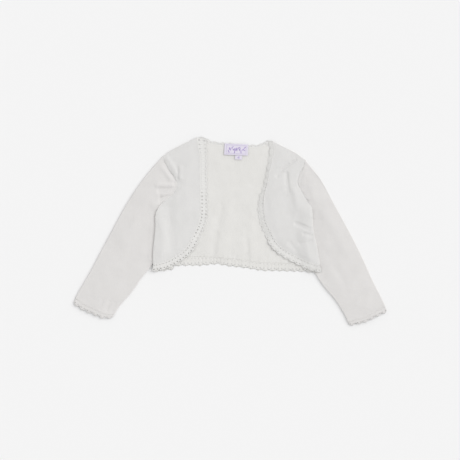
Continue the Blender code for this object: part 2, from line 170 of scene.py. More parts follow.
# Sewing at the tag's ends: each stitch has a length, a slant, an arch and a drop to the back
SEWING_PITCH = 1.9
SEWING_THREAD = 0.17
SEWING_MARGINS = (1.2, 0.6)
SEWING_INSET = 0.9
SEWING_LENGTH = 1.5
SEWING_SLANT = 0.35
SEWING_ARCH = 0.5
SEWING_DROP = 0.35

# Stitched artwork: two borders as (inset, yarn), a waved stem with leaves, and a flower
MOTIF_MARGINS = (3.4, 2.2)
BORDERS = ((0.0, 0.2), (1.1, 0.13))
STEM_WAVE = 2.4
STEM_BENDS = 2.6
STEM_INSET = 3.0
STEM_YARN = 0.28
LEAVES = 16
LEAVES_UNTIL = 0.94
LEAF = 4.6
LEAF_LEANS_DEG = (-62.0, 58.0)
LEAF_YARN = (0.08, 0.62)
PETALS = 5
PETAL = 3.0
PETAL_START = 0.7
FLOWER_RING = 0.6
FLOWER_RING_YARN = 0.35
FLOWER_RING_RISE = 0.2
CLEAR_OF_FLOWER = 0.13
TAB_YARN = 0.32
TAB_STROKES = (((0.9, -2.4), (0.9, 1.8)), ((0.9, 1.8), (-1.5, -0.9)), ((-1.5, -0.9), (1.7, -0.9)))

# How softly the fronts and sleeves rise from their edges
SIDE_EASE = 20.0
FRONT_FULLNESS = 0.75
SLEEVE_FULLNESS = 0.8
TUCK_EASE = 22.0

# Unevenness and rounding of the cloth: a pucker is (reach, height) and a slack wave (length,
# height). Pairs named from or until say where something starts and over how far it builds up.
HEM_PUCKER = (9.0, 0.16)
EDGE_PUCKER = (5.0, 0.15)
SEAM_PUCKER = (4.5, 0.14)
ARMHOLE_PUCKER = (5.0, 0.16)
LONG_GATHER = 7.4
SHORT_GATHER = 4.9
GATHER_WANDER = 13.0
SLACK = 0.6
BACK_SLACK = 0.7
SLACK_WAVES = ((47.0, 0.14), (31.0, 0.12), (23.0, 0.09), (17.0, 0.07), (12.0, 0.045))
RIM_ROUND = 0.4
CREASE_ROUND = 1.0
ARMHOLE_CREASE_FROM = (84.0, 8.0)
ARMHOLE_CREASE_UNTIL = (124.0, 6.0)
BARE_BACK_FROM = (-4.0, 10.0)
BACK_FADE = 6.0
FRONT_FADE = 4.0
THINNEST_BACK = 0.8
LEAST_GAP = 0.25
DEEPEST_DENT = -0.25

# Fineness of the knit and of the meshes
WALE = 1.65
COURSE = 1.25
BACK_TURN_DEG = 1.2
FRONT_TURN_DEG = 3.0
SLEEVE_RUN = (130.0, 215.0)
CELL = 1.2
BACK_CELL = 1.8
BACK_ROW = 1.7
SLEEVE_CELL = 1.5
SLEEVE_COLUMNS = 68
CUFF_COLUMNS = 61
SEAM_CROWDING = 1.1
FAN_CROWDING = 1.6
ROUND_POINTS = 5
END_SHARE = 0.02
MOST_OF_ROOM = 0.8
PANEL_HEIGHT = 225.0
BACK_WIDTH = 290.0
FRONT_WIDTH = 95.0
RIM_STEPS = (0.0, 0.12, 0.35, 0.75)

# Depth of the finest relief, in metres
KNIT_RELIEF = 0.00016
YARN_RELIEF = 0.0001
TAPE_RELIEF = 0.00006
FLOOR_GRAIN = 0.00003

# How the edge of each front lies. The front has its full rise at a distance ease from the edge. The
# edge stands off the back by a share of the front's loft, and over a distance drop its edging comes
# down to rest just above the back. Towards the neck a part of the edging's width is turned under and
# a share of the drop is held up. eyelets are the shares of both rows at the hem, and each change
# adds shares to them, from its y on and over a distance.
EyeletChange = namedtuple("EyeletChange", "y over shares")
EdgeLie = namedtuple("EdgeLie", "ease stand drop rest turned_under held_up eyelets changes")
EDGE_LIES = {
    "left": EdgeLie(
        ease=26.0, stand=0.0, drop=4.5, rest=0.3, turned_under=0.0, held_up=0.0, eyelets=(0.65, 1.05),
        changes=[EyeletChange(-25.0, 20.0, (0.45, 0.45)), EyeletChange(62.0, 14.0, (-0.65, -0.65)),
                 EyeletChange(138.0, 12.0, (0.39, 0.39))]),
    "right": EdgeLie(
        ease=13.0, stand=0.65, drop=10.5, rest=0.02, turned_under=6.5, held_up=0.2, eyelets=(0.65, 0.6),
        changes=[EyeletChange(40.0, 15.0, (0.1, 0.0)), EyeletChange(88.0, 10.0, (-0.5, -0.5))]),
}
STAND_FADES_AT_SHOULDER = 22.0
STAND_FROM = (-42.0, 36.0)
EDGING_LIES_FROM = (-22.0, 18.0)
NECK_FROM = (30.0, 55.0)
CORNER_SAG_FROM = (62.0, 12.0)

# Light and camera, in metres
SKY = 0.767
SUN = 1.25
SUN_WIDTH_DEG = 45.0
SUN_AZIMUTH_DEG = 32.0
SUN_ELEVATION_DEG = 40.0
CAMERA_PLACE = (0.0, 0.0009, 2.3)
CAMERA_LENS = 100.0
CAMERA_SENSOR = 36.0
CAMERA_FAR = 20.0
FLOOR_HALF = 3.0
FLOOR_DEPTH = 0.00005

# Half: one side of the garment. sign is -1 on the left and +1 on the right; every line is a list
# of (x, y) points of a smooth curve.
Half = namedtuple("Half", "name sign side armhole shoulder edge sleeve_outer sleeve_inner cuff")

LEFT = Half(
    name="left",
    sign=-1,
    side=[(-138, -60), (-138, -35), (-136, -15), (-134, 6), (-134, 22)],
    armhole=[(-134, 22), (-131, 35), (-117, 53), (-102, 67), (-96, 78), (-97, 89), (-110, 109),
             (-122, 132)],
    shoulder=[(-122, 132), (-110, 141), (-88, 153), (-74, 160), (-60, 167)],
    edge=[(-140, -74), (-122, -71), (-103, -64), (-83, -52), (-69, -40), (-54, -13), (-46, 3), (-41, 21),
          (-40, 55), (-41, 109), (-41, 136), (-42, 164)],
    sleeve_outer=[(-122, 132), (-135, 118), (-158, 89), (-182, 53), (-218, -12), (-252, -76), (-277, -120),
                  (-282, -131)],
    sleeve_inner=[(-134, 22), (-127, 4), (-123, -17), (-128, -42), (-139, -60), (-159, -85), (-179, -113),
                  (-199, -136), (-211, -157)],
    cuff=[(-282, -132), (-268, -142), (-247, -151), (-228, -158), (-211, -157)],
)

RIGHT = Half(
    name="right",
    sign=1,
    side=[(161, -60), (155, -26), (150, -3), (148, 17)],
    armhole=[(148, 17), (147, 39), (130, 68), (122, 87), (125, 101), (132, 112), (135, 127)],
    shoulder=[(135, 127), (113, 142), (99, 149), (85, 156), (76, 161)],
    edge=[(164, -76), (152, -74), (126, -64), (104, -53), (88, -43), (73, -29), (61, -6), (53, 12), (49, 33),
          (49, 64), (54, 86), (61, 122), (64, 145), (62, 161)],
    sleeve_outer=[(135, 127), (159, 97), (183, 54), (230, -33), (260, -98), (278, -134), (283, -146)],
    sleeve_inner=[(148, 17), (142, -3), (143, -32), (149, -57), (155, -79), (168, -99), (192, -128),
                  (206, -151), (215, -171)],
    cuff=[(283, -146), (266, -154), (245, -164), (215, -171)],
)

# Back hem and back neck: the line where the cloth ends, and the edging's free edge
HEM_CLOTH = [(-138, -60), (-100, -50), (-54, -47), (-2, -50), (56, -57), (110, -59), (161, -60)]
HEM_FREE = [(-138, -74), (-117, -72), (-103, -70), (-100, -64), (-86, -63), (-54, -63), (-23, -60), (-2, -64),
            (27, -67), (56, -72), (99, -73), (135, -74), (161, -77)]
NECK_CLOTH = [(-58, 159), (-38, 156), (-23, 153.5), (5, 152), (34, 149.8), (56, 151), (74, 154.5)]
NECK_FREE = [(-58, 167), (-47, 168), (-38, 163), (-23, 159), (5, 157), (34, 154), (56, 156), (63, 160),
             (74, 162)]

# Folds: a soft trough (height below 0) or ridge from start to end
Fold = namedtuple("Fold", "start_x start_y end_x end_y half_width height")

FRONT_FOLDS = [
    Fold(-95, 113, -94, 93, 3.0, -1.5),
    Fold(-106, 124, -83, 115, 8.0, -1.0),
    Fold(-108, 42, -108, -35, 10.0, -0.7),
    Fold(-95, 55, -95, -35, 9.0, 0.6),
    Fold(-78, 60, -80, -15, 9.0, 0.5),
    Fold(119, 126, 108, 121, 4.0, -1.3),
    Fold(108, 121, 85, 98, 4.0, -1.4),
    Fold(102, 103, 104, 75, 4.0, -1.5),
    Fold(104, 75, 106, 18, 10.0, -0.5),
    Fold(119, 13, 143, 3, 4.0, -1.6),
    Fold(133, -5, 148, -8, 4.0, -1.1),
    Fold(125, -23, 146, -17, 5.0, -1.0),
    Fold(108, -21, 121, -39, 6.0, -0.6),
    Fold(80, 70, 84, 0, 12.0, 0.2),
]

BACK_FOLDS = [
    Fold(-14, 46, -31, -44, 7.0, -0.4),
    Fold(-2, 50, -14, -40, 9.0, 0.8),
    Fold(31, -12, 32, -48, 4.0, -0.4),
    Fold(40, 10, 44, -45, 7.0, 0.6),
    Fold(-36, 30, -44, -40, 8.0, 0.5),
]

SLEEVE_FOLDS = [
    Fold(-126, 78, -99, 75, 5.0, -1.6),
    Fold(-121, 60, -108, 58, 5.0, -1.8),
    Fold(-128, 92, -104, 100, 9.0, 1.4),
    Fold(-150, 60, -190, -15, 12.0, 1.0),
    Fold(-150, 0, -185, -60, 10.0, -0.7),
    Fold(-213, -124, -219, -140, 5.0, -0.4),
    Fold(140, 100, 150, 60, 8.0, 1.2),
    Fold(142, 66, 158, 20, 8.0, -0.8),
    Fold(175, 30, 205, -30, 12.0, 1.0),
    Fold(175, -40, 205, -95, 10.0, -0.7),
]

# Finer creases, laid on top of the folds. Each is steep on its side towards the light, which
# is the left of its run, and eases off on the other side.
CREASE_EASE = 2.6
FRONT_CREASES = [
    Fold(-112, 129, -91, 95, 4.5, 1.2),
    Fold(-94, 113, -93, 93, 1.8, -1.0),
    Fold(-88, 112, -88, 94, 4.0, 0.5),
    Fold(-86, 76, -98, 62, 5.0, 0.7),
    Fold(-108, 42, -109, -30, 4.0, -0.3),
    Fold(119, 126, 110, 122, 1.9, -1.0),
    Fold(106, 119.5, 94, 110.5, 2.0, -1.1),
    Fold(90.5, 106.5, 85, 98, 3.2, -0.5),
    Fold(115, 128.5, 92, 114, 2.6, 0.8),
    Fold(121, 123.5, 98, 107.5, 2.6, 0.8),
    Fold(102.5, 103, 103.2, 84, 1.9, -1.2),
    Fold(104, 77, 106, 69, 2.8, -0.9),
    Fold(107, 60, 108, 30, 8.0, -0.8),
    Fold(114, 72, 122, 40, 5.0, 0.7),
    Fold(118, 13.5, 128, 10.2, 2.0, -1.1),
    Fold(132, 8.4, 143, 3, 2.0, -1.5),
    Fold(133, -5, 148, -8, 1.8, -0.9),
    Fold(125, -23, 135, -21.3, 1.9, -0.7),
    Fold(139, -20.2, 147, -17, 1.9, -0.8),
    Fold(108, -21, 121, -39, 2.4, -0.5),
]

BACK_CREASES = [
    Fold(-14, 46, -22.5, 5, 2.6, -0.35),
    Fold(-24.8, -5, -31, -58, 3.0, -0.45),
    Fold(31, -15, 32, -60, 2.2, -0.5),
    Fold(-17, 2, -24, -62, 4.2, 0.35),
    Fold(36.5, -16, 37.5, -64, 3.8, 0.3),
    Fold(-36, -44, -37, -60, 1.7, -0.4),
    Fold(-42, -46, -42, -60, 1.5, -0.3),
    Fold(-48, -44, -49, -60, 1.6, -0.35),
    Fold(-58, -42, -58, -60, 1.6, -0.35),
    Fold(-20, -46, -21, -61, 1.6, -0.25),
    Fold(12, -44, 12, -60, 1.7, -0.3),
    Fold(50, -46, 51, -64, 1.8, -0.3),
]

SLEEVE_CREASES = [
    Fold(-127, 119, -106, 92, 4.5, 1.6),
    Fold(-130, 81, -105, 80.5, 4.2, 2.2),
    Fold(-128, 74, -98, 75, 2.4, -3.2),
    Fold(-121, 63, -108, 69, 3.2, 2.6),
    Fold(-124, 56.5, -112, 60, 3.0, -4.2),
    Fold(-137, 47, -124, 46, 7.0, 1.2),
    Fold(-139, 26, -143, -50, 4.5, 0.8),
    Fold(-215, -128, -221, -143, 2.0, -0.55),
    Fold(-205, -129, -211, -144, 2.0, -0.55),
    Fold(-228, -124, -233, -141, 2.2, -0.35),
    Fold(137, 112, 131, 86, 4.0, 0.6),
    Fold(137, 66, 152, 30, 4.5, 0.3),
]


# ---- Lines ----

def smooth_step(value):
    """0 below 0, 1 above 1 and a soft S between."""
    value = np.clip(value, 0.0, 1.0)
    return value * value * (3.0 - 2.0 * value)


def soft_rise(value, start, over):
    """0 up to start, and a soft S to 1 over the distance after it."""
    return smooth_step((value - start) / over)


def smooth_line(points, per_span=16):
    """Dense points of a smooth curve through the given points."""
    return curve_through(tuple(tuple(map(float, point)) for point in points), per_span).copy()


@lru_cache(maxsize=None)
def curve_through(points, per_span):
    """Dense points of a cubic through the points, with its slopes taken from their neighbours."""
    points = np.array(points)
    knots = np.concatenate([[0.0], np.cumsum(np.linalg.norm(np.diff(points, axis=0), axis=1))])
    slopes = np.gradient(points, knots, axis=0)
    dense = []
    for first in range(len(points) - 1):
        last = first + 1
        span = knots[last] - knots[first]
        for step in range(per_span):
            t = step / per_span
            dense.append((2 * t**3 - 3 * t**2 + 1) * points[first]
                         + (t**3 - 2 * t**2 + t) * span * slopes[first]
                         + (3 * t**2 - 2 * t**3) * points[last]
                         + (t**3 - t**2) * span * slopes[last])
    dense.append(points[-1])
    return np.array(dense)


def run_of(line):
    """Length along a polyline at each of its points."""
    return np.concatenate([[0.0], np.cumsum(np.linalg.norm(np.diff(line, axis=0), axis=1))])


def at_run(line, run, wanted):
    """Points of a line at the wanted amounts of its run."""
    return np.stack([np.interp(wanted, run, line[:, axis]) for axis in range(line.shape[1])], axis=-1)


def along(points, fractions):
    """Points at the given fractions of a smooth curve's length."""
    dense = smooth_line(points)
    run = run_of(dense)
    return at_run(dense, run, np.asarray(fractions) * run[-1])


def line_length(points):
    """Length of the smooth curve through the given points."""
    return run_of(smooth_line(points))[-1]


def by_count(points, amounts):
    """Points of the smooth curve through evenly counted points, at amounts 0 to 1 of the count."""
    dense = smooth_line(points)
    return at_run(dense, np.linspace(0.0, 1.0, len(dense)), amounts)


def evenly(line, step):
    """A polyline's points resampled to an even step."""
    run = run_of(line)
    count = max(2, int(round(run[-1] / step)) + 1)
    return at_run(line, run, np.linspace(0.0, run[-1], count))


def line_x(line, y):
    """The x of a line that runs one way in y."""
    dense = smooth_line(line)
    order = np.argsort(dense[:, 1])
    return np.interp(y, dense[order, 1], dense[order, 0])


def beside(points, fractions, distance):
    """Points of a smooth curve moved to its left by a distance."""
    fractions = np.asarray(fractions)
    run = along(points, np.clip(fractions + 0.004, 0, 1)) - along(points, np.clip(fractions - 0.004, 0, 1))
    run /= np.linalg.norm(run, axis=1)[:, None]
    leftwards = np.column_stack([-run[:, 1], run[:, 0]])
    return along(points, fractions) + leftwards * (np.zeros(len(fractions)) + distance)[:, None]


def near_line(line, x, y, at_once=4000):
    """Distance of plan points from a dense line, and how far along it the nearest point lies."""
    run = run_of(line)
    flat = np.column_stack([np.ravel(x), np.ravel(y)])
    distance = np.empty(len(flat))
    place = np.empty(len(flat))
    for first in range(0, len(flat), at_once):
        part = slice(first, first + at_once)
        gap = np.hypot(flat[part, :1] - line[None, :, 0], flat[part, 1:] - line[None, :, 1])
        nearest = gap.argmin(axis=1)
        distance[part] = gap.min(axis=1)
        place[part] = run[nearest]
    return distance.reshape(np.shape(x)), place.reshape(np.shape(x))


def span_patch(bottom, top, left, right, across, up):
    """Grid of plan points between four sampled boundary lines that share their corners."""
    u = across[None, :, None]
    v = up[:, None, None]
    ruled_up = (1 - v) * bottom[None, :, :] + v * top[None, :, :]
    ruled_across = (1 - u) * left[:, None, :] + u * right[:, None, :]
    corners = (1 - v) * ((1 - u) * bottom[0] + u * bottom[-1]) + v * ((1 - u) * top[0] + u * top[-1])
    return ruled_up + ruled_across - corners


def panel_side(half):
    """Side seam and armhole of a panel, sampled from the hem to the shoulder."""
    side = along(half.side, np.linspace(0, 1, SIDE_ROWS + 1))
    arm = along(half.armhole, np.linspace(0, 1, ARM_ROWS + 1))
    return np.vstack([side, arm[1:]])


def trim_width(fractions):
    """Width of a front's edging, wider over the last stretch to the neck."""
    return TRIM_WIDTH + TRIM_EXTRA_AT_NECK * soft_rise(np.asarray(fractions), 1.0 - NECK_TURN, NECK_TURN)


def front_edge(half, fractions, inset):
    """Points on a front's free edge, moved inwards by inset."""
    return beside(half.edge, fractions, -half.sign * np.asarray(inset))


def front_cloth_edge(half):
    """Where a front's cloth meets its edging, from the hem corner to the neck."""
    fractions = np.linspace(HEM_CORNER, 1.0, SIDE_ROWS + ARM_ROWS + 1)
    points = front_edge(half, fractions, trim_width(fractions))
    points[-1] = half.shoulder[-1]
    return fractions, points


def scallop_count(length):
    """How many whole scallops fit a length."""
    return max(1, round(length / SCALLOP))


def scallop_inset(phase, depth):
    """How far a scalloped edge falls short of its tips."""
    return depth * (1.0 - np.abs(np.sin(np.pi * phase)) ** SCALLOP_ROUNDNESS)


# ---- Heights ----

def fold_height(folds, x, y, ease=1.0):
    """Sum of the soft troughs and ridges at plan points; ease widens the right side of troughs."""
    total = np.zeros_like(x)
    for fold in folds:
        run = np.array([fold.end_x - fold.start_x, fold.end_y - fold.start_y], dtype=float)
        length = np.linalg.norm(run)
        run /= length
        ahead = (x - fold.start_x) * run[0] + (y - fold.start_y) * run[1]
        aside = (y - fold.start_y) * run[0] - (x - fold.start_x) * run[1]
        beyond = np.maximum(np.maximum(-ahead, ahead - length), 0.0)
        if fold.height < 0.0:
            aside = np.where(aside < 0.0, aside / ease, aside)
        distance = np.hypot(aside, beyond)
        total += fold.height * np.exp(-(distance / fold.half_width) ** 2)
    return total


def tuck_lift(x, y):
    """How far the back and fronts are raised where a sleeve's inner fold lies under them."""
    total = np.zeros_like(x)
    for half in (LEFT, RIGHT):
        inside = half.sign * (line_x(half.sleeve_inner, y) - x) - LIFT_MARGIN
        across = smooth_step(1.0 - inside / LIFT_RAMP)
        above = smooth_step(1.0 - (y - half.side[-1][1] - LIFT_HOLD) / LIFT_RUN)
        total += LIFT * across * above
    return total


def back_top(x, y):
    """Upper face of the back, over the sleeves' inner folds and its own relief."""
    relief = np.clip(fold_height(BACK_FOLDS, x, y), BACK_RELIEF_MIN, BACK_RELIEF_MAX)
    return tuck_lift(x, y) + CLOTH + relief


def front_loft(x, y):
    """How far a front lies above the back where it has its full rise."""
    return np.clip(FRONT_LOFT + fold_height(FRONT_FOLDS, x, y), FRONT_LOFT_MIN, FRONT_LOFT_MAX)


def front_under(x, y, rise, seam_rise):
    """Underside of a front; both rises are 0 at the side seam and 1 inside."""
    return back_top(x, y) + SEAM_GAP + EDGE_LOFT * seam_rise + front_loft(x, y) * rise


def sleeve_hollow(half, x, y, s, t):
    """Height of the hollow in a flattened sleeve, at fraction s down it and t across it."""
    crown = np.sin(np.pi * np.clip(t, 0.0, 1.0)) ** SLEEVE_CROWN
    from_seam = SLEEVE_LOFT_AT_SEAM + (1.0 - SLEEVE_LOFT_AT_SEAM) * smooth_step(s / SLEEVE_LOFT_RUN)
    to_cuff = 1.0 - (1.0 - SLEEVE_LOFT_AT_CUFF) * soft_rise(s, 1.0 - SLEEVE_CUFF_RUN, SLEEVE_CUFF_RUN)
    tucked = smooth_step(1.0 - half.sign * (x - line_x(half.side, y)) / TUCK_EASE)
    below_arm = smooth_step(1.0 - (y - half.side[-1][1]) / LIFT_RUN)
    free = 1.0 - tucked * below_arm
    loft = SLEEVE_FULLNESS * SLEEVE_LOFT * from_seam * to_cuff + fold_height(SLEEVE_FOLDS, x, y)
    return np.clip(SLEEVE_HOLLOW_MIN + loft * crown * free, SLEEVE_HOLLOW_MIN, SLEEVE_HOLLOW_MAX)


def edge_stand(half, x, y):
    """How far a front's free edge stands off the back, above the hem's curve."""
    from_side = smooth_step(half.sign * (line_x(half.side, y) - x) / SIDE_EASE)
    from_ends = smooth_step((half.shoulder[-1][1] - y) / STAND_FADES_AT_SHOULDER)
    from_ends = from_ends * soft_rise(y, *STAND_FROM)
    return EDGE_LIES[half.name].stand * FRONT_FULLNESS * front_loft(x, y) * from_side * from_ends


def slack(x, y, seed):
    """Slight unevenness of cloth that lies loose, in mm either side of 0."""
    total = np.zeros_like(x)
    for number, (length, height) in enumerate(SLACK_WAVES):
        turn = seed * 1.7 + number * 2.1
        wave = (x * np.cos(turn) + y * np.sin(turn)) / length
        bend = 0.35 * np.sin((y * np.cos(turn) - x * np.sin(turn)) / (1.7 * length) + seed)
        total += height * np.sin(2 * np.pi * (wave + bend) + seed * number)
    return total


def pucker(line, x, y, size, seed):
    """Small gathers where cloth is drawn in along a seam: a long wave that wanders, and a short one."""
    reach, height = size
    distance, place = near_line(line, x, y)
    wave = np.sin(2 * np.pi * place / LONG_GATHER + 1.6 * np.sin(place / GATHER_WANDER + seed))
    wave += 0.6 * np.sin(2 * np.pi * place / SHORT_GATHER + seed)
    return height * wave * np.exp(-(distance / reach) ** 1.3)


def armhole_crease(half, y):
    """1 where the left armhole seam lies in a deep crease, and 0 elsewhere."""
    if half.sign > 0:
        return np.zeros_like(y)
    return soft_rise(y, *ARMHOLE_CREASE_FROM) * (1.0 - soft_rise(y, *ARMHOLE_CREASE_UNTIL))


def armhole_rounding(half, y):
    """How far the cloth rounds over along an armhole seam."""
    return RIM_ROUND + CREASE_ROUND * armhole_crease(half, y)


# ---- Pieces in the making ----

class Piece:
    """Points and four-cornered faces of one piece while it is being made."""

    def __init__(self):
        self.points = []
        self.faces = []
        self.maps = []
        self.finishes = []
        self.count = 0

    def add(self, points, faces, stitches, finish=0):
        """Add a mesh with its stitch counts; its faces count its own points from 0."""
        points = np.asarray(points, dtype=float).reshape(-1, 3)
        faces = np.asarray(faces, dtype=int)
        self.points.append(points)
        self.faces.append(faces + self.count)
        self.maps.append(np.asarray(stitches, dtype=float).reshape(-1, 2))
        self.finishes.append(np.zeros(len(faces), dtype=int) + finish)
        self.count += len(points)

    def make(self, name, finishes):
        """The piece as an object in metres, with its faces turned outwards."""
        faces = np.concatenate(self.faces)
        mesh = bpy.data.meshes.new(name)
        mesh.from_pydata((np.concatenate(self.points) * METRES_PER_MM).tolist(), [], faces.tolist())
        for finish in finishes:
            mesh.materials.append(finish)
        mesh.polygons.foreach_set("material_index", np.concatenate(self.finishes).astype(np.int32))
        layer = mesh.uv_layers.new(name="stitches")
        corners = np.empty(len(mesh.loops), dtype=np.int32)
        mesh.loops.foreach_get("vertex_index", corners)
        layer.data.foreach_set("uv", np.concatenate(self.maps)[corners].ravel())
        work = bmesh.new()
        work.from_mesh(mesh)
        bmesh.ops.recalc_face_normals(work, faces=work.faces)
        work.to_mesh(mesh)
        work.free()
        mesh.shade_smooth()
        made = bpy.data.objects.new(name, mesh)
        bpy.context.scene.collection.objects.link(made)
        return made


def grid_faces(rows, columns, closed=False, looped=False):
    """Faces of a grid of points.

    closed joins each row's end to its start, and looped joins the last row to the first.
    """
    down = np.arange(rows if looped else rows - 1)
    along_row = np.arange(columns if closed else columns - 1)
    row, column = np.meshgrid(down, along_row, indexing="ij")
    below, after = (row + 1) % rows, (column + 1) % columns
    corners = ((row, column), (row, after), (below, after), (below, column))
    return np.stack([(at_row * columns + at_column).ravel() for at_row, at_column in corners], axis=1)


def normals_of(points, faces):
    """Unit normals at the points of a mesh."""
    corner = points[faces]
    facing = np.cross(corner[:, 2] - corner[:, 0], corner[:, 3] - corner[:, 1])
    total = np.zeros_like(points)
    for number in range(4):
        np.add.at(total, faces[:, number], facing)
    return total / np.maximum(np.linalg.norm(total, axis=1), 1e-9)[:, None]


def rim_profile(distance, reach):
    """Rounding of cloth near its rim: 0 on the rim and reach from there inwards."""
    near = 1.0 - np.minimum(distance / reach, 1.0)
    return reach * np.sqrt(np.maximum(1.0 - near * near, 0.0))


def add_cloth(piece, middle, faces, half, stitches, under_finish=0):
    """Closed cloth around a middle surface; half its thickness is 0 along its rim.

    Its outer face is the one that looks up where the cloth lies highest.
    """
    middle = middle.reshape(-1, 3)
    half = np.ravel(half)
    out = normals_of(middle, faces)
    if out[middle[:, 2] > np.median(middle[:, 2]), 2].sum() < 0.0:
        faces = faces[:, ::-1]
        out = -out
    inside = half > 1e-6
    under = np.arange(len(middle))
    under[inside] = len(middle) + np.arange(inside.sum())
    points = np.concatenate([middle + out * half[:, None], (middle - out * half[:, None])[inside]])
    stitches = stitches.reshape(-1, 2)
    stitches = np.concatenate([stitches, stitches[inside]])
    piece.add(points, np.concatenate([faces, under[faces[:, ::-1]]]), stitches)
    piece.finishes[-1][len(faces):] = under_finish


def spread(length, step=CELL):
    """Fractions along a length, evenly spaced but closer at both rims."""
    near = np.array(RIM_STEPS) / length
    count = int(round((length - 2 * RIM_STEPS[-1]) / step))
    middle = np.linspace(near[-1], 1 - near[-1], count + 1)[1:-1]
    return np.concatenate([near, middle, 1 - near[::-1]])


def knit_map(x, y, turn_deg=0.0):
    """Stitch counts across and along at plan points, with the wales turned from +Y."""
    turn = np.radians(turn_deg)
    return np.stack([(x * np.cos(turn) + y * np.sin(turn)) / WALE,
                     (y * np.cos(turn) - x * np.sin(turn)) / COURSE], axis=-1)


# ---- Yarns ----

def add_yarns(piece, paths, radius, finish=0, sides=6, closed=False):
    """Round yarns along many paths that have the same number of points."""
    paths = np.asarray(paths, dtype=float)
    many, count = paths.shape[:2]
    if closed:
        ahead = np.roll(paths, -1, axis=1) - np.roll(paths, 1, axis=1)
    else:
        ahead = np.gradient(paths, axis=1)
    ahead /= np.linalg.norm(ahead, axis=2)[..., None]
    side = np.cross(ahead, [0.0, 0.0, 1.0])
    side /= np.maximum(np.linalg.norm(side, axis=2), 1e-6)[..., None]
    up = np.cross(side, ahead)
    turn = np.arange(sides) / sides * 2 * np.pi
    radius = np.broadcast_to(np.asarray(radius, dtype=float), (many, count))[..., None, None]
    ring = np.cos(turn)[:, None] * side[:, :, None, :] + np.sin(turn)[:, None] * up[:, :, None, :]
    points = paths[:, :, None, :] + radius * ring
    one = grid_faces(count, sides, closed=True, looped=closed)
    if not closed:
        caps = np.array([[0, 1, 2, 3], [0, 3, 4, 5]])
        one = np.concatenate([one, caps, caps + (count - 1) * sides])
    faces = one[None] + (np.arange(many) * count * sides)[:, None, None]
    steps = np.linalg.norm(np.diff(paths, axis=1), axis=2)
    length = np.cumsum(np.pad(steps, ((0, 0), (1, 0))), axis=1)
    stitches = np.stack(np.broadcast_arrays(turn[None, None, :] / (2 * np.pi), length[:, :, None]), axis=-1)
    piece.add(points, faces.reshape(-1, 4), stitches, finish)


def across_line(line):
    """Unit vectors to the left of a line in plan, at each of its points."""
    ahead = np.gradient(line, axis=0)
    ahead[:, 2] = 0.0
    ahead /= np.maximum(np.linalg.norm(ahead, axis=1), 1e-9)[:, None]
    return np.column_stack([-ahead[:, 1], ahead[:, 0], np.zeros(len(line))])


def add_twist(piece, line, twist, finish=0):
    """Two plies twisted round a line."""
    ply, pitch = twist
    line = evenly(line, pitch / 8.0)
    run = run_of(line)
    aside = across_line(line)
    paths = []
    for start in (0.0, np.pi):
        turn = 2 * np.pi * run / pitch + start
        paths.append(line + 0.92 * ply * (np.cos(turn)[:, None] * aside
                                          + np.sin(turn)[:, None] * np.array([0.0, 0.0, 1.0])))
    add_yarns(piece, paths, ply, finish)


def add_chain(piece, line, pitch, width, yarn, finish=0):
    """Chain of looped stitches along a line, each loop leaning on the next."""
    run = run_of(line)
    starts = np.arange(0.0, run[-1] - pitch, pitch)
    ahead = pitch * 0.72 * (1.0 - np.cos(LOOP_TURN))
    aside = width * np.sin(LOOP_TURN) * (0.62 + 0.38 * np.cos(LOOP_TURN - 0.6))
    height = yarn * 0.7 * np.cos(LOOP_TURN)
    wanted = np.clip(starts[:, None] + ahead[None, :], 0.0, run[-1])
    base = at_run(line, run, wanted)
    sideways = at_run(across_line(line), run, wanted)
    paths = base + sideways * aside[None, :, None]
    paths[..., 2] -= height[None, :]
    add_yarns(piece, paths, yarn, finish, closed=True)


# ---- Finishes ----

class Amount:
    """A number that varies over a surface, for shader maths written as plain expressions."""

    def __init__(self, finish, socket):
        self.finish = finish
        self.socket = socket

    def maths(self, operation, *others):
        return self.finish.node("ShaderNodeMath", {"operation": operation}, [self, *others])

    def __add__(self, other):
        return self.maths("ADD", other)

    __radd__ = __add__

    def __mul__(self, other):
        return self.maths("MULTIPLY", other)

    __rmul__ = __mul__

    def __sub__(self, other):
        return self.maths("SUBTRACT", other)

    def __rsub__(self, other):
        return self.finish.node("ShaderNodeMath", {"operation": "SUBTRACT"}, [other, self])

    def __pow__(self, other):
        return self.maths("POWER", other)


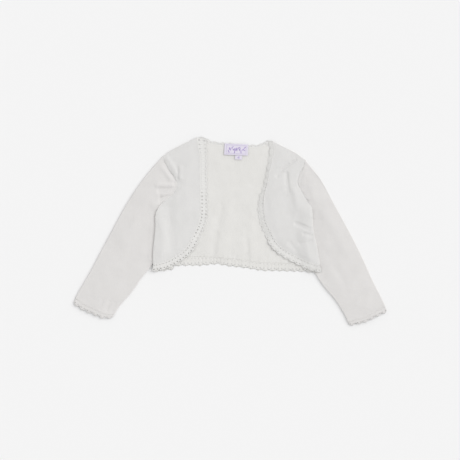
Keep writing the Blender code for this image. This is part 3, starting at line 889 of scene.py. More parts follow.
class Finish:
    """A material, and the nodes that its colour and relief come from."""

    def __init__(self, name, roughness, sheen=0.0, specular=0.3):
        self.material = bpy.data.materials.new(name)
        self.material.use_nodes = True
        self.nodes = self.material.node_tree.nodes
        self.links = self.material.node_tree.links
        self.shader = self.nodes["Principled BSDF"]
        self.shader.inputs["Roughness"].default_value = roughness
        self.shader.inputs["Specular IOR Level"].default_value = specular
        self.shader.inputs["Sheen Weight"].default_value = sheen
        self.shader.inputs["Sheen Roughness"].default_value = 0.6

    def node(self, kind, settings, inputs, output=0):
        """A node of a kind: its settings first, then the values or links of its sockets."""
        node = self.nodes.new(kind)
        for name, value in settings.items():
            setattr(node, name, value)
        for name, value in (inputs.items() if isinstance(inputs, dict) else enumerate(inputs)):
            if isinstance(value, Amount):
                self.links.new(value.socket, node.inputs[name])
            else:
                node.inputs[name].default_value = value
        return Amount(self, node.outputs[output])

    def feed(self, socket, amount):
        """Drive one of the shader's sockets."""
        self.links.new(amount.socket, self.shader.inputs[socket])

    def stitches(self, warp=0.0):
        """Stitch counts across and along, a little uneven as in real knitting."""
        where = self.node("ShaderNodeUVMap", {"uv_map": "stitches"}, [])
        if warp:
            stray = self.node("ShaderNodeTexNoise", {"noise_dimensions": "3D"},
                              {"Vector": where, "Scale": 0.23, "Detail": 2.0}, "Color")
            stray = self.node("ShaderNodeVectorMath", {"operation": "SUBTRACT"}, [stray, (0.5, 0.5, 0.5)])
            stray = self.node("ShaderNodeVectorMath", {"operation": "MULTIPLY"}, [stray, (warp, warp, 0.0)])
            where = self.node("ShaderNodeVectorMath", {"operation": "ADD"}, [where, stray])
        return (where, self.node("ShaderNodeSeparateXYZ", {}, [where], "X"),
                self.node("ShaderNodeSeparateXYZ", {}, [where], "Y"))

    def noise(self, scale, detail=2.0, where=None):
        """Cloudy unevenness, over the object unless it is given a place."""
        if where is None:
            where = self.node("ShaderNodeTexCoord", {}, {}, "Object")
        return self.node("ShaderNodeTexNoise", {}, {"Vector": where, "Scale": scale, "Detail": detail})

    def show(self, tone, shade_and_grain_colour, colour, height, depth):
        """The material, coloured from a darker colour to colour by tone, with relief of a depth in metres. On
        knit, yarn and tape the darker colour is painted shade in the hollows of the relief; on the floor it
        is grain.
        """
        colours = {0: tone, 6: (*shade_and_grain_colour, 1.0), 7: (*colour, 1.0)}
        self.feed("Base Color", self.node("ShaderNodeMix", {"data_type": "RGBA"}, colours, 2))
        bumps = {"Strength": 1.0, "Distance": depth, "Height": height}
        self.feed("Normal", self.node("ShaderNodeBump", {}, bumps, "Normal"))
        return self.material


def plain_stitch(across, up):
    """Relief of the knit's outer face: columns of stitches shaped like a V."""
    leg = (across.maths("FRACT") - 0.5).maths("ABSOLUTE")
    ridge = 1.0 - (leg * 4.0 - 1.0) ** 2.0
    course = ((up - leg * 1.3) * (2 * np.pi)).maths("COSINE") * 0.5 + 0.5
    return ridge * (course * 0.6 + 0.4)


def purl_stitch(across, up):
    """Relief of the knit's inner face: rows of small interlocked arcs."""
    arc = (across * (2 * np.pi)).maths("COSINE") * 0.2
    row = ((up + arc) * (2 * np.pi)).maths("COSINE") * 0.5 + 0.5
    knots = (across * (4 * np.pi)).maths("COSINE") * 0.12 + 0.88
    return row * knots


def knit_finish(name, stitch, colour, shade_and_grain_colour):
    """Matt knit of one stitch, with stray fibre, slight clouds of tone and painted shade in the grooves
    between stitches.
    """
    finish = Finish(name, 0.88, sheen=0.2, specular=0.2)
    where, across, up = finish.stitches(warp=0.7)
    height = stitch(across, up) + finish.noise(3.1, 4.0, where) * 0.35
    # Painted shade: tone follows the stitch relief, so the grooves between stitches take the darker colour;
    # the clouds add random tone.
    tone = (height * 0.75 + finish.noise(38.0) * 0.5 - 0.1).maths("MINIMUM", 1.0)
    return finish.show(tone, shade_and_grain_colour, colour, height, KNIT_RELIEF)


def yarn_finish(name, colour, shade_and_grain_colour, pitch=1.3):
    """Twisted yarn: slanted plies round each strand, with stray fibre and painted shade between the plies."""
    finish = Finish(name, 0.85, sheen=0.2, specular=0.2)
    _, around, length = finish.stitches()
    ply = ((around + length * (1.0 / pitch)) * (4 * np.pi)).maths("SINE") * 0.5 + 0.5
    height = ply * 0.8 + finish.noise(2400.0, 3.0) * 0.4
    # Painted shade: tone follows the plies' relief, so the yarn is darker between its plies.
    return finish.show((height * 0.8).maths("MINIMUM", 1.0), shade_and_grain_colour, colour, height, YARN_RELIEF)


def tape_finish(name, colour, shade_and_grain_colour):
    """Woven satin tape: fine warp threads over a slight weft, with painted shade between the threads."""
    finish = Finish(name, 0.5, sheen=0.1, specular=0.45)
    _, across, up = finish.stitches()
    warp = (across * (2 * np.pi)).maths("COSINE") * 0.5 + 0.5
    weft = ((up + across.maths("FLOOR") * 0.5) * (2 * np.pi)).maths("COSINE") * 0.5 + 0.5
    height = warp * 0.6 + weft * 0.4
    # Painted shade: tone follows the weave's relief, darker between the threads; the noise adds random tone.
    tone = (height * 0.8 + finish.noise(90.0) * 0.35).maths("MINIMUM", 1.0)
    return finish.show(tone, shade_and_grain_colour, colour, height, TAPE_RELIEF)


def floor_finish():
    """Even pale backdrop with a very fine grain."""
    finish = Finish("pale_floor", 0.75, specular=0.1)
    grain = finish.noise(900.0, 3.0)
    return finish.show(grain, (0.879, 0.878, 0.879), (0.899, 0.898, 0.899), grain, FLOOR_GRAIN)


# ---- Panels ----

def seam_lines(half):
    """Dense seam lines of one half: side, armhole and shoulder."""
    return [smooth_line(line) for line in (half.side, half.armhole, half.shoulder)]


def row_widths(plan):
    """Width of a panel at each row of its grid."""
    return np.linalg.norm(plan[:, -1] - plan[:, 0], axis=1)[:, None]


def make_back(finishes):
    """Back panel, inside face up; its relief is flattened where the fronts lie on it."""
    rows = spread(PANEL_HEIGHT, BACK_ROW)
    columns = spread(BACK_WIDTH, BACK_CELL)
    hem = along(HEM_CLOTH, columns)
    top = along(LEFT.shoulder[:-1] + NECK_CLOTH + RIGHT.shoulder[:-1][::-1], columns)
    sides = [by_count(panel_side(half), rows) for half in (LEFT, RIGHT)]
    plan = span_patch(hem, top, *sides, columns, rows)
    x, y = plan[..., 0], plan[..., 1]
    from_side = np.minimum(columns, 1 - columns)[None, :] * row_widths(plan)
    from_hem, from_top = rows[:, None] * PANEL_HEIGHT, (1 - rows)[:, None] * PANEL_HEIGHT
    rim = np.minimum(from_side, np.minimum(from_hem, from_top))
    under = tuck_lift(x, y)
    detail = fold_height(BACK_CREASES, x, y, CREASE_EASE) + BACK_SLACK * slack(x, y, 0.3)
    detail += pucker(smooth_line(HEM_CLOTH), x, y, HEM_PUCKER, 0.4)
    faded = smooth_step(np.minimum(from_side, from_top) / BACK_FADE)
    over = np.maximum(back_top(x, y) + detail * faded, under + THINNEST_BACK)
    bare = soft_rise(np.minimum(front_reach(LEFT, x, y), front_reach(RIGHT, x, y)), *BARE_BACK_FROM)
    over = over * bare + np.minimum(over, back_top(x, y)) * (1 - bare)
    half = 0.5 * (over - under)
    thick = half * rim_profile(rim, RIM_ROUND) / RIM_ROUND
    piece = Piece()
    add_cloth(piece, np.dstack([plan, under + half]), grid_faces(*x.shape), thick,
              knit_map(x, y, BACK_TURN_DEG), 1)
    return piece.make("knit_back", [finishes["purl"], finishes["plain"]])


def front_reach(half, x, y):
    """How far plan points are beyond a front's free edge, towards the middle of the back."""
    return half.sign * (line_x(half.edge, y) - x)


def front_grid(half):
    """Rows, columns and plan points of a front panel, from its side seam to its edging."""
    rows = spread(PANEL_HEIGHT)
    columns = spread(FRONT_WIDTH)
    left = by_count(panel_side(half), rows)
    right = by_count(front_cloth_edge(half)[1], rows)
    bottom = left[0] + columns[:, None] * (right[0] - left[0])
    plan = span_patch(bottom, along(half.shoulder, columns), left, right, columns, rows)
    return rows, columns, plan


def make_front(half, finishes):
    """Front panel, plain side up, with its folds, slack and the puckers along its seams."""
    rows, columns, plan = front_grid(half)
    x, y = plan[..., 0], plan[..., 1]
    from_side = columns[None, :] * row_widths(plan)
    from_edge = (1 - columns)[None, :] * row_widths(plan)
    v = rows[:, None]
    rise = FRONT_FULLNESS * smooth_step(from_side / SIDE_EASE) * smooth_step((1 - v) / SHOULDER_RISE)
    inside = smooth_step(from_edge / EDGE_LIES[half.name].ease)
    seam_rise = smooth_step(from_side / SEAM_RISE)
    rim = np.minimum(np.minimum(from_side, from_edge), np.minimum(v, 1 - v) * PANEL_HEIGHT)
    detail = fold_height(FRONT_CREASES, x, y, CREASE_EASE) + SLACK * slack(x, y, 1.1 + half.sign)
    detail += pucker(smooth_line(front_cloth_edge(half)[1]), x, y, EDGE_PUCKER, half.sign)
    detail = detail * smooth_step(rim / FRONT_FADE)
    for line in seam_lines(half):
        detail += pucker(line, x, y, SEAM_PUCKER, half.sign + 0.5)
    under = front_under(x, y, rise * inside, seam_rise) + edge_stand(half, x, y) * (1.0 - inside) + detail
    under = np.maximum(under, back_top(x, y) + LEAST_GAP)
    rounding = armhole_rounding(half, y)
    rounded = np.minimum(rim_profile(rim, RIM_ROUND) / RIM_ROUND, rim_profile(from_side, rounding) / rounding)
    piece = Piece()
    add_cloth(piece, np.dstack([plan, under + 0.5 * CLOTH]), grid_faces(*x.shape), 0.5 * CLOTH * rounded,
              knit_map(x, y, -FRONT_TURN_DEG * half.sign), 1)
    return piece.make("knit_front_" + half.name, [finishes["plain"], finishes["purl"]])


# ---- Sleeves ----

def sleeve_place(half):
    """Function from (s, t) to plan points of a sleeve.

    s runs from the armhole seam to the cuff and t from the outer fold to the inner fold. Slices
    run straight across from the outer fold to the armhole seam and, below the underarm, to the
    inner fold; near the seam the points fan out along it.
    """
    seam = half.armhole[::-1]
    cuff = np.array(half.cuff, dtype=float)

    def inner_line(w):
        on_seam = along(seam, np.clip(w / UNDERARM, 0.0, 1.0))
        on_fold = along(half.sleeve_inner, np.clip((w - UNDERARM) / (1.0 - UNDERARM), 0.0, 1.0))
        return np.where((w < UNDERARM)[:, None], on_seam, on_fold)

    def place(s, t):
        t = np.asarray(t, dtype=float)
        w = UNDERARM * t * (1.0 - s) + s
        fan = np.minimum(1.0, s / ARMHOLE_FAN)
        slice_t = np.where(t > 0.0, np.maximum(t, 1e-9) ** fan, 0.0)[:, None]
        plan = (1.0 - slice_t) * along(half.sleeve_outer, w) + slice_t * inner_line(w)
        off_seam = beside(seam, t, half.sign * SEAM_GAP) - along(seam, t)
        bow = along(half.cuff, t) - (cuff[0] + t[:, None] * (cuff[-1] - cuff[0]))
        near_cuff = soft_rise(s, CUFF_BOW_START, 1.0 - CUFF_BOW_START)
        return plan + off_seam * max(0.0, 1.0 - s / SEAM_FADE) + bow * near_cuff

    return place


def sleeve_ring(half, place, s, height_at, across, detail):
    """Middle of the cloth once round a flattened sleeve: over its upper layer, then back below."""
    radius = 0.5 * (CLOTH + SLEEVE_HOLLOW_MIN)
    centre = CLOTH + 0.5 * SLEEVE_HOLLOW_MIN
    turn = np.linspace(0.0, 0.5 * np.pi, ROUND_POINTS)
    insets = 0.5 * CLOTH + radius * (1.0 - np.cos(turn))
    ends = []
    for end, neighbour in ((0.0, across[0]), (1.0, across[-1])):
        near = place(s, np.array([end, neighbour]))
        run = near[1] - near[0]
        room = np.linalg.norm(run)
        within = np.minimum(insets, MOST_OF_ROOM * room * insets / insets[-1])
        ends.append(near[0] + within[:, None] * run / room)
    plan = np.concatenate([ends[0], place(s, across), ends[1][::-1]])
    at_end = np.linspace(0.0, END_SHARE, ROUND_POINTS)
    t = np.concatenate([at_end, across, 1.0 - at_end[::-1]])
    rise = np.concatenate([np.sin(turn), np.ones(len(across)), np.sin(turn)[::-1]])
    crest = sleeve_hollow(half, plan[:, 0], plan[:, 1], height_at, t) - SLEEVE_HOLLOW_MIN
    crest = np.maximum(crest + detail(plan[:, 0], plan[:, 1]) * np.sin(np.pi * t) ** 0.3, DEEPEST_DENT)
    upper = np.column_stack([plan, centre + rise * (radius + crest)])
    lower = np.column_stack([plan, centre - rise * radius])[1:-1][::-1]
    return np.concatenate([upper, lower])


def make_sleeve(half, finishes):
    """Sleeve as a flattened tube, open at the armhole and at the edging of the cuff."""
    place = sleeve_place(half)
    length = line_length(half.sleeve_outer)
    last = 1.0 - (CUFF_TRIM_WIDTH + SEAM_GAP) / length
    stations = last * spread(length * last, SLEEVE_CELL) ** SEAM_CROWDING
    seam = smooth_line(half.armhole)
    even = np.linspace(0.0, 1.0, SLEEVE_COLUMNS + 1)[1:-1]

    def detail(x, y):
        # Creases are pressed flat where the body lies on the sleeve.
        free = smooth_step(half.sign * (x - line_x(half.side, y)) / PRESSED_BESIDE + 0.5)
        free = np.maximum(free, soft_rise(y, half.side[-1][1], PRESSED_ABOVE))
        uneven = fold_height(SLEEVE_CREASES, x, y, CREASE_EASE) + SLACK * slack(x, y, 2.3 + half.sign)
        return (uneven + pucker(seam, x, y, ARMHOLE_PUCKER, half.sign)) * free

    rings = []
    for s in stations:
        across = even ** (1.0 + FAN_CROWDING * (1.0 - min(1.0, s / ARMHOLE_FAN)))
        rings.append(sleeve_ring(half, place, s, s, across, detail))
    rings = np.array(rings)
    rows, around = rings.shape[:2]
    rim = np.minimum(stations - stations[0], stations[-1] - stations)[:, None] * length
    rounding = armhole_rounding(half, rings[..., 1])
    run_x, run_y = SLEEVE_RUN
    stitches = knit_map(rings[..., 0], rings[..., 1], np.degrees(np.arctan2(half.sign * run_x, run_y)))
    stitches[:, around // 2 + 1:, 0] *= -1.0
    piece = Piece()
    thick = 0.5 * CLOTH * rim_profile(rim, rounding) / rounding
    add_cloth(piece, rings, grid_faces(rows, around, closed=True), thick, stitches, 1)
    return piece.make("knit_sleeve_" + half.name, [finishes["sleeve"], finishes["purl"]])


# ---- Openwork edging ----

def lace_net(count, rows, width, hole, closed):
    """Flat net of a scalloped band with eyelets.

    Gives phases along it in scallops, amounts across it, faces, and how far each point lies from
    a rim. rows are (low, high, centre) amounts across for each row of eyelets, and hole gives an
    eyelet's radius at a phase and centre.
    """
    side = np.linspace(0.0, 1.0, 5)[:-1]
    low_side, high_side = 0 * side, 1 + 0 * side
    square = np.column_stack([np.concatenate([side, high_side, 1 - side, low_side]),
                              np.concatenate([low_side, side, high_side, 1 - side])])
    around = len(square)
    size = np.array([SCALLOP, width])
    cell_faces = grid_faces(len(EYELET_RINGS) + 2, around, closed=True)
    points = []
    rims = []
    faces = []
    for cell in range(2 * count):
        for low, high, centre in rows:
            border = np.column_stack([(cell + square[:, 0]) / 2.0, low + (high - low) * square[:, 1]])
            middle = np.array([(cell + 0.5) / 2.0, centre])
            away = (border - middle) * size
            away /= np.linalg.norm(away, axis=1)[:, None]
            outside = (border[:, 1] < 1e-6) | (border[:, 1] > 1 - 1e-6)
            if not closed:
                outside |= (border[:, 0] < 1e-6) | (border[:, 0] > count - 1e-6)
            faces.append(cell_faces + len(points) * around)
            for ring in EYELET_RINGS:
                points.append(middle + away * (hole(middle[0], centre) + ring) / size)
                rims.append(np.full(around, ring))
            points += [0.5 * (points[-1] + border), border]
            rims += [np.full(around, FAR_FROM_RIM), np.where(outside, 0.0, FAR_FROM_RIM)]
    points = np.concatenate(points)
    rims = np.concatenate(rims)
    shared = np.arange(len(points)) // around % (len(EYELET_RINGS) + 2) == len(EYELET_RINGS) + 1
    if closed:
        points[shared, 0] = points[shared, 0] % count
    keys = np.round(points * 1e4).astype(int)
    keys = np.column_stack([keys, np.where(shared, 0, np.arange(len(points)) + 1)])
    kept, index = np.unique(keys, axis=0, return_index=True, return_inverse=True)[1:]
    faces = index.ravel()[np.concatenate(faces)]
    return points[kept, 0], points[kept, 1], faces, rims[kept]


def lace_half(amount, width):
    """Half the thickness of an edging: flush with the cloth at its seam and thin at its free edge."""
    thin = 0.5 * LACE_CLOTH * (1.0 - LACE_THINNING * np.clip(amount, 0.0, 1.0))
    at_seam = 1.0 - soft_rise(amount * width, LACE_OVERLAP, SEAM_FLUSH)
    return thin + (0.5 * CLOTH - LACE_SET_IN - thin) * at_seam


def add_lace(piece, place, count, width, hole, rows=LACE_ROWS, closed=False):
    """Scalloped band: knit net with eyelets, twisted free edge, chain at the seam, looped tips, ribs."""
    phase, amount, faces, rim = lace_net(count, rows, width, hole, closed)
    stitches = np.column_stack([phase * SCALLOP / WALE, amount * width / COURSE])
    thick = lace_half(amount, width) * rim_profile(rim, LACE_ROUND) / LACE_ROUND
    add_cloth(piece, place(phase, amount), faces, thick, stitches)
    dense = np.linspace(0.0, count, count * 24 + 1)
    add_twist(piece, place(dense, np.ones(len(dense))), EDGE_TWIST, finish=1)
    seam = place(dense, np.full(len(dense), (LACE_OVERLAP + CHAIN_SINK) / width))
    seam[:, 2] += 0.5 * CLOTH - CHAIN_SINK
    add_chain(piece, seam, CHAIN_PITCH, CHAIN_WIDTH, CHAIN_YARN, finish=1)
    add_tips(piece, place, count, width)
    if len(rows) > 1:
        add_ribs(piece, place, count, rows[0][2], rows[1][2])


def add_tips(piece, place, count, width):
    """A small loop of yarn at the tip of each scallop."""
    turn = LOOP_TURN[None, :]
    tips = np.arange(count)[:, None] + 0.5
    phase = tips + TIP_LOOP[0] / SCALLOP * np.sin(turn)
    amount = 1.0 + (TIP_OUT - TIP_LOOP[1] * np.cos(turn) + 0 * tips) / width
    loops = place(phase.ravel(), amount.ravel()).reshape(count, -1, 3)
    add_yarns(piece, loops, TIP_YARN, finish=1, closed=True)


def add_ribs(piece, place, count, inner, outer):
    """Leaf-shaped pairs of ribs between the centres of the inner and the outer eyelets."""
    step = np.linspace(0.0, 1.0, 8)
    centres = (np.arange(2 * count)[:, None] + 0.5) / 2.0
    amount = np.tile(inner + RIB_START + (outer - inner - RIB_SHORTENING) * step, (2 * count, 1))
    for lean in (-1.0, 1.0):
        phase = centres + lean * (RIB_SPREAD * np.cos(np.pi * 0.5 * step) + RIB_GAP)[None, :]
        ribs = place(phase.ravel(), amount.ravel()).reshape(2 * count, -1, 3)
        ribs[..., 2] += RIB_HEIGHT * LACE_CLOTH * (1.0 - LACE_THINNING * amount)
        add_yarns(piece, ribs, RIB_YARN * (1.0 + np.sin(np.pi * step))[None, :], finish=1)


def front_trim_place(half, count):
    """Function from scallop phase and amount across to the middle of a front's edging."""
    cloth_points = front_cloth_edge(half)[1]
    even = np.linspace(0.0, 1.0, 289)
    dense_fractions = np.concatenate([[0.0], HEM_CORNER + (1.0 - HEM_CORNER) * even])
    dense = np.vstack([[half.side[0]], by_count(cloth_points, even)])
    lie = EDGE_LIES[half.name]

    def place(phase, amount):
        fractions = phase / count
        cloth = at_run(dense, dense_fractions, fractions)
        outer = front_edge(half, fractions, scallop_inset(phase, SCALLOP_DEPTH))
        outwards = outer - cloth
        outwards /= np.linalg.norm(outwards, axis=1)[:, None]
        at_neck = soft_rise(cloth[:, 1], *NECK_FROM)
        outer = outer - outwards * (lie.turned_under * at_neck)[:, None]
        inner = cloth - outwards * LACE_OVERLAP
        plan = inner + amount[:, None] * (outer - inner)
        x, y = plan[:, 0], plan[:, 1]
        lying = soft_rise(cloth[:, 1], *EDGING_LIES_FROM) * (1.0 - lie.held_up * at_neck)
        high = SEAM_GAP + EDGE_LOFT + 0.5 * CLOTH + edge_stand(half, cloth[:, 0], cloth[:, 1])
        low = lie.rest + 0.5 * LACE_CLOTH * (1.0 - LACE_THINNING * amount)
        drop = (high - low) * lying * soft_rise(amount * TRIM_WIDTH, DROP_START, lie.drop)
        tip = np.sin(np.pi * phase) ** 2 * (1.0 - lying) * smooth_step(amount * 1.4 - 0.4)
        wander = 2.0 * np.sin(phase * 0.6 + half.sign)
        wave = LACE_WAVE * amount * np.sin(2 * np.pi * phase / LACE_WAVE_RUN + wander)
        level = back_top(x, y) - corner_sag(x, y)
        height = level + high - drop + TIP_LIFT * tip + np.maximum(wave, DEEPEST_WAVE)
        return np.column_stack([plan, height])

    return place


def even_eyelets(shares):
    """Function from scallop phase and row to eyelets' radius, the same all along an edging."""
    return lambda phase, centre: EYELET * shares[int(centre > 0.5)]


def front_eyelets(half, count):
    """Function from scallop phase and row to eyelets' radius, which changes up the front."""
    lie = EDGE_LIES[half.name]

    def hole(phase, centre):
        y = along(half.edge, [phase / count])[0, 1]
        row = int(centre > 0.5)
        share = lie.eyelets[row]
        for change in lie.changes:
            share += change.shares[row] * soft_rise(y, change.y, change.over)
        return EYELET * share * (1.0 + EYELET_UNEVENNESS * np.sin(phase * 2.3))

    return hole


def corner_sag(x, y):
    """How far the edging droops at the hem corners, past the sleeves that raise them."""
    return CORNER_SAG * tuck_lift(x, y) * soft_rise(-y, *CORNER_SAG_FROM)


def make_front_trim(half, finishes):
    """Edging of one front, from the side seam round the curve and up to the shoulder."""
    count = scallop_count(line_length(half.edge))
    piece = Piece()
    add_lace(piece, front_trim_place(half, count), count, TRIM_WIDTH, front_eyelets(half, count))
    return piece.make("lace_front_" + half.name, [finishes["lace"], finishes["yarn"]])


def make_hem_trim(finishes):
    """Edging of the back hem, gathered into small flutes."""
    count = scallop_count(line_length(HEM_CLOTH))
    hem = smooth_line(HEM_CLOTH)
    free_x, free_y = np.array(HEM_FREE).T

    def place(phase, amount):
        x = hem[0, 0] + (hem[-1, 0] - hem[0, 0]) * phase / count
        inner = np.interp(x, hem[:, 0], hem[:, 1]) + LACE_OVERLAP
        outer = np.interp(x, free_x, free_y) + scallop_inset(phase, SCALLOP_DEPTH)
        y = inner + amount * (outer - inner)
        wave = fold_height(BACK_FOLDS, x, y) + fold_height(BACK_CREASES, x, y, CREASE_EASE)
        wave = 0.5 * np.maximum(wave, -0.6) * (1.0 - 0.4 * amount) + 0.12 * (1.0 - amount)
        gathered = 0.5 + 0.5 * np.sin(phase * 0.9 + 1.4 * np.sin(phase * 0.37))
        across = np.sin(np.pi * np.clip(amount, 0.0, 1.0)) ** 0.7
        wave += HEM_FLUTE * gathered * np.cos(4 * np.pi * phase) * across
        level = tuck_lift(x, y) - corner_sag(x, y) + 0.5 * CLOTH - 0.1 * amount + wave
        return np.column_stack([x, y, np.maximum(level, lace_half(amount, TRIM_WIDTH))])

    piece = Piece()
    add_lace(piece, place, count, TRIM_WIDTH, even_eyelets(HEM_EYELETS))
    return piece.make("lace_hem", [finishes["purl"], finishes["hem_yarn"]])


def make_neck_trim(finishes):
    """Narrow edging of the back neck, with one row of eyelets."""
    count = scallop_count(line_length(NECK_FREE))
    line = smooth_line(NECK_CLOTH)

    def place(phase, amount):
        outer = along(NECK_FREE, phase / count)
        x = outer[:, 0]
        inner = np.interp(x, line[:, 0], line[:, 1]) - LACE_OVERLAP
        y = inner + amount * (outer[:, 1] - scallop_inset(phase, NECK_SCALLOP_DEPTH) - inner)
        return np.column_stack([x, y, 0.5 * CLOTH + 0 * x])

    piece = Piece()
    add_lace(piece, place, count, NECK_TRIM_WIDTH, even_eyelets(NECK_EYELETS), rows=NECK_ROWS)
    return piece.make("lace_neck", [finishes["lace"], finishes["yarn"]])


def make_cuff_trim(half, finishes):
    """Edging all round one cuff."""
    place = sleeve_place(half)
    first = 1.0 - CUFF_TRIM_WIDTH / line_length(half.sleeve_outer)
    across = np.linspace(0.0, 1.0, CUFF_COLUMNS + 1)[1:-1]
    flat = [sleeve_ring(half, place, s, first, across, lambda x, y: 0 * x) for s in (first, 1.0)]
    rings = [np.vstack([ring, ring[:1]]) for ring in flat]
    run = run_of(rings[0]) / run_of(rings[0])[-1]
    count = 2 * scallop_count(line_length(half.cuff))
    down = rings[1] - rings[0]
    down[:, 2] = 0.0
    down /= np.linalg.norm(down, axis=1)[:, None]

    def lace_place(phase, amount):
        where = (phase % count) / count
        top = at_run(rings[0], run, where) - at_run(down, run, where) * (LACE_OVERLAP + SEAM_GAP)
        outer = at_run(rings[1], run, where)
        outer -= at_run(down, run, where) * scallop_inset(phase, CUFF_SCALLOP_DEPTH)[:, None]
        return top + amount[:, None] * (outer - top)

    piece = Piece()
    add_lace(piece, lace_place, count, CUFF_TRIM_WIDTH, even_eyelets(CUFF_EYELETS), closed=True)
    return piece.make("lace_cuff_" + half.name, [finishes["sleeve"], finishes["cuff_yarn"]])


# ---- Seams ----

def make_seams(half, finishes):
    """Linking yarns of the armhole, side, shoulder and sleeve seams of one half."""
    piece = Piece()
    arm = beside(half.armhole, np.linspace(0.0, 1.0, 200), -half.sign * 0.5 * SEAM_GAP)
    share = ARMHOLE_YARN_HEIGHT - ARMHOLE_YARN_SINK * armhole_crease(half, arm[:, 1])
    height = back_top(arm[:, 0], arm[:, 1]) + SEAM_GAP + share * CLOTH
    add_twist(piece, np.column_stack([arm, height]), ARMHOLE_TWIST)
    for line in (half.side, half.shoulder):
        edge = along(line, np.linspace(0.0, 1.0, 160))
        height = back_top(edge[:, 0], edge[:, 1]) + 0.5 * SEAM_GAP
        add_twist(piece, np.column_stack([edge, height]), SEAM_TWIST)
    inner = along(half.sleeve_inner, np.linspace(*SLEEVE_SEAM_SPAN, 240))
    height = np.full(len(inner), CLOTH + 0.5 * SLEEVE_HOLLOW_MIN)
    add_twist(piece, np.column_stack([inner, height]), SLEEVE_TWIST)
    return piece.make("seams_" + half.name, [finishes["yarn"]])


# ---- Label ----

def tag_place(centre, size, stand):
    """Function from mm along and up a woven tag to its middle; its lower edge stands off the back."""
    tilt = np.radians(LABEL_TILT_DEG)

    def place(along_tag, up_tag, above=0.0):
        x = centre[0] + along_tag * np.cos(tilt) - up_tag * np.sin(tilt)
        y = centre[1] + along_tag * np.sin(tilt) + up_tag * np.cos(tilt)
        bow = TAG_BOW * np.cos(np.pi * np.clip(along_tag / size[0], -0.5, 0.5)) ** 0.7
        above = above + stand * smooth_step(0.5 - up_tag / size[1]) ** 1.5
        return np.stack([x, y, back_top(x, y) + SEAM_GAP + 0.5 * LABEL_CLOTH + bow + above], axis=-1)

    return place


def make_tag(name, centre, size, stand, finishes, fold):
    """Small woven rectangle with its ends turned under, sewn down at the ends."""
    place = tag_place(centre, size, stand)
    columns, rows = ((spread(length, TAG_CELL) - 0.5) * length for length in size)
    across, up = np.meshgrid(columns, rows)
    rim = np.minimum(0.5 * size[0] - np.abs(across), 0.5 * size[1] - np.abs(up))
    turned = smooth_step((np.abs(across) - 0.5 * size[0] + fold) / FOLD_EDGE)
    half = rim_profile(rim, 0.5 * LABEL_CLOTH) * (1.0 + FOLD_FULLNESS * turned)
    piece = Piece()
    stitches = np.stack([across / TAPE_THREAD[0], up / TAPE_THREAD[1]], axis=-1)
    add_cloth(piece, place(across, up, TAG_FACE), grid_faces(*across.shape), half, stitches)
    step = np.linspace(0.0, 1.0, 5)
    lowest, highest = SEWING_MARGINS
    stitch_rows = np.arange(-0.5 * size[1] + lowest, 0.5 * size[1] - highest, SEWING_PITCH)
    for end in (-1.0, 1.0):
        outwards = 0.5 * size[0] - SEWING_INSET + SEWING_LENGTH * step
        along_tag = end * outwards[None, :] + 0 * stitch_rows[:, None]
        up_tag = stitch_rows[:, None] + SEWING_SLANT * step[None, :]
        arch = SEWING_ARCH * np.sin(np.pi * step)[None, :] - SEWING_DROP * step[None, :]
        add_yarns(piece, place(along_tag, up_tag, 2.0 * TAG_FACE + arch), SEWING_THREAD, finish=1)
    return piece.make(name, [finishes["tape"], finishes["sewing"]])


def make_motif(finishes):
    """Raised satin stitches: a garland and border on the label, and a plain number on the size tab."""
    place = tag_place(LABEL_CENTRE, LABEL_SIZE, LABEL_STAND)
    piece = Piece()
    top = TAG_FACE + 0.5 * LABEL_CLOTH
    half_w, half_h = (0.5 * size - margin for size, margin in zip(LABEL_SIZE, MOTIF_MARGINS))
    step = np.linspace(0.0, 1.0, 9)[:, None]

    def stem(where):
        wave = STEM_WAVE * np.sin(where * STEM_BENDS * np.pi)
        return np.stack([where * (half_w - STEM_INSET), wave], axis=-1)

    def sew(lines, yarn, on=place, **settings):
        lines = np.array(lines)
        add_yarns(piece, on(lines[..., 0], lines[..., 1], top), yarn, **settings)

    for inset, yarn in BORDERS:
        corners = np.array([(-1, -1), (1, -1), (1, 1), (-1, 1), (-1, -1)])
        sew([evenly(corners * np.array([half_w - inset, half_h - inset]), 1.0)], yarn, finish=1)
    sew([stem(np.linspace(-1.0, 1.0, 60))], STEM_YARN)
    leaves = []
    for number, where in enumerate(np.linspace(-LEAVES_UNTIL, LEAVES_UNTIL, LEAVES)):
        if abs(where) > CLEAR_OF_FLOWER:
            lean = np.radians(LEAF_LEANS_DEG[number % 2]) + 0.5 * np.sin(number * 1.9)
            reach = LEAF + 0.4 * np.sin(number * 2.3)
            leaves.append(stem(where) + step * reach * np.array([np.cos(lean), np.sin(lean)]))
    for lean in np.radians(90.0 + 360.0 / PETALS * np.arange(PETALS)):
        leaves.append((PETAL_START + step * PETAL) * np.array([np.cos(lean), np.sin(lean)]))
    thin, fuller = LEAF_YARN
    sew(leaves, thin + fuller * np.sin(np.pi * step[:, 0])[None, :] ** 0.8)
    ring_x, ring_y = FLOWER_RING * np.cos(LOOP_TURN), FLOWER_RING * np.sin(LOOP_TURN)
    ring = place(ring_x[None], ring_y[None], top + FLOWER_RING_RISE)
    add_yarns(piece, ring, FLOWER_RING_YARN, closed=True)
    tab = tag_place(TAB_CENTRE, TAB_SIZE, TAB_STAND)
    for start, end in TAB_STROKES:
        sew([np.array(start) + step * (np.array(end) - np.array(start))], TAB_YARN, on=tab)
    return piece.make("label_motif", [finishes["violet"], finishes["lilac"]])


# ---- Surroundings ----

def make_floor():
    """Pale surface the garment lies on; it is not attached to the body."""
    mesh = bpy.data.meshes.new("floor")
    corners = [(x * FLOOR_HALF, y * FLOOR_HALF, 0.0) for x, y in ((-1, -1), (1, -1), (1, 1), (-1, 1))]
    mesh.from_pydata(corners, [], [(0, 1, 2, 3)])
    mesh.materials.append(floor_finish())
    floor = bpy.data.objects.new("floor", mesh)
    floor.location.z = -FLOOR_DEPTH
    bpy.context.scene.collection.objects.link(floor)


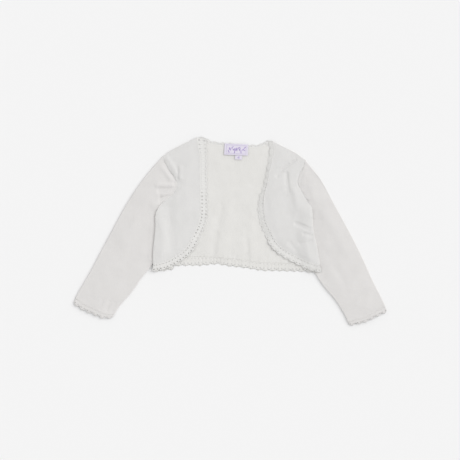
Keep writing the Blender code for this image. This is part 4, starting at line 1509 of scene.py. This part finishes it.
def light_and_camera():
    """Bright soft room, low wide window light from the upper right, and a camera straight above."""
    scene = bpy.context.scene
    scene.view_settings.view_transform = "Standard"
    world = bpy.data.worlds.new("soft_room")
    world.use_nodes = True
    sky = world.node_tree.nodes["Background"]
    sky.inputs["Color"].default_value = (1.0, 1.0, 1.0, 1.0)
    sky.inputs["Strength"].default_value = SKY
    scene.world = world
    sun = bpy.data.lights.new("window", "SUN")
    sun.energy = SUN
    sun.angle = np.radians(SUN_WIDTH_DEG)
    lamp = bpy.data.objects.new("window", sun)
    azimuth, elevation = np.radians(SUN_AZIMUTH_DEG), np.radians(SUN_ELEVATION_DEG)
    towards = Vector((-np.cos(azimuth), -np.sin(azimuth), -np.tan(elevation)))
    lamp.rotation_euler = towards.to_track_quat("-Z", "Y").to_euler()
    scene.collection.objects.link(lamp)
    lens = bpy.data.cameras.new("camera")
    lens.lens = CAMERA_LENS
    lens.sensor_width = CAMERA_SENSOR
    lens.clip_end = CAMERA_FAR
    camera = bpy.data.objects.new("camera", lens)
    camera.location = CAMERA_PLACE
    scene.collection.objects.link(camera)
    scene.camera = camera


def declare(piece, slot, *nodes):
    """A piece attached to the body root, with the CAD nodes it stands for hidden. slot is not used."""
    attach(piece, "root")
    if nodes:
        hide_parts(*nodes)
    return piece


def main():
    """Make every piece, attach it to the body root and hide the CAD parts it stands for, then make the floor,
    the light and the camera.
    """
    # The second colour of each knit, yarn and tape finish is painted shade for the hollows of its relief.
    finishes = {
        "plain": knit_finish("plain_knit", plain_stitch, (0.79, 0.783, 0.772), (0.665, 0.657, 0.646)),
        "sleeve": knit_finish("sleeve_knit", plain_stitch, (0.795, 0.779, 0.767), (0.67, 0.654, 0.642)),
        "purl": knit_finish("purl_knit", purl_stitch, (0.83, 0.82, 0.795), (0.70, 0.69, 0.668)),
        "lace": knit_finish("lace_knit", plain_stitch, (0.815, 0.808, 0.79), (0.71, 0.702, 0.685)),
        "yarn": yarn_finish("edging_yarn", (0.93, 0.922, 0.905), (0.86, 0.852, 0.835)),
        "hem_yarn": yarn_finish("hem_yarn", (0.88, 0.868, 0.842), (0.80, 0.788, 0.762)),
        "cuff_yarn": yarn_finish("cuff_yarn", (0.86, 0.842, 0.826), (0.77, 0.752, 0.736)),
        "tape": tape_finish("label_tape", (0.79, 0.755, 0.845), (0.685, 0.645, 0.76)),
        "sewing": yarn_finish("sewing_thread", (0.80, 0.79, 0.80), (0.62, 0.60, 0.64), 0.6),
        "lilac": yarn_finish("lilac_thread", (0.66, 0.60, 0.80), (0.54, 0.47, 0.69), 0.6),
        "violet": yarn_finish("violet_thread", (0.50, 0.40, 0.72), (0.38, 0.28, 0.60), 0.6),
    }
    back = declare(make_back(finishes), "knit", "back")
    hem = declare(make_hem_trim(finishes), "edging", "trim_hem")
    neck = declare(make_neck_trim(finishes), "edging", "trim_neck")
    label = make_tag("woven_label", LABEL_CENTRE, LABEL_SIZE, LABEL_STAND, finishes, LABEL_FOLD)
    label = declare(label, "woven_tape", "label")
    tab = make_tag("woven_size_tab", TAB_CENTRE, TAB_SIZE, TAB_STAND, finishes, TAB_FOLD)
    tab = declare(tab, "woven_tape", "size_tab")
    motif = declare(make_motif(finishes), "woven_tape")
    for half in (LEFT, RIGHT):
        front = declare(make_front(half, finishes), "knit", "front_" + half.name)
        edging = declare(make_front_trim(half, finishes), "edging", "trim_front_" + half.name)
        seams = declare(make_seams(half, finishes), "knit")
        sleeve = declare(make_sleeve(half, finishes), "knit", "sleeve_" + half.name)
        cuff = declare(make_cuff_trim(half, finishes), "edging", "trim_cuff_" + half.name)
    make_floor()
    light_and_camera()


main()
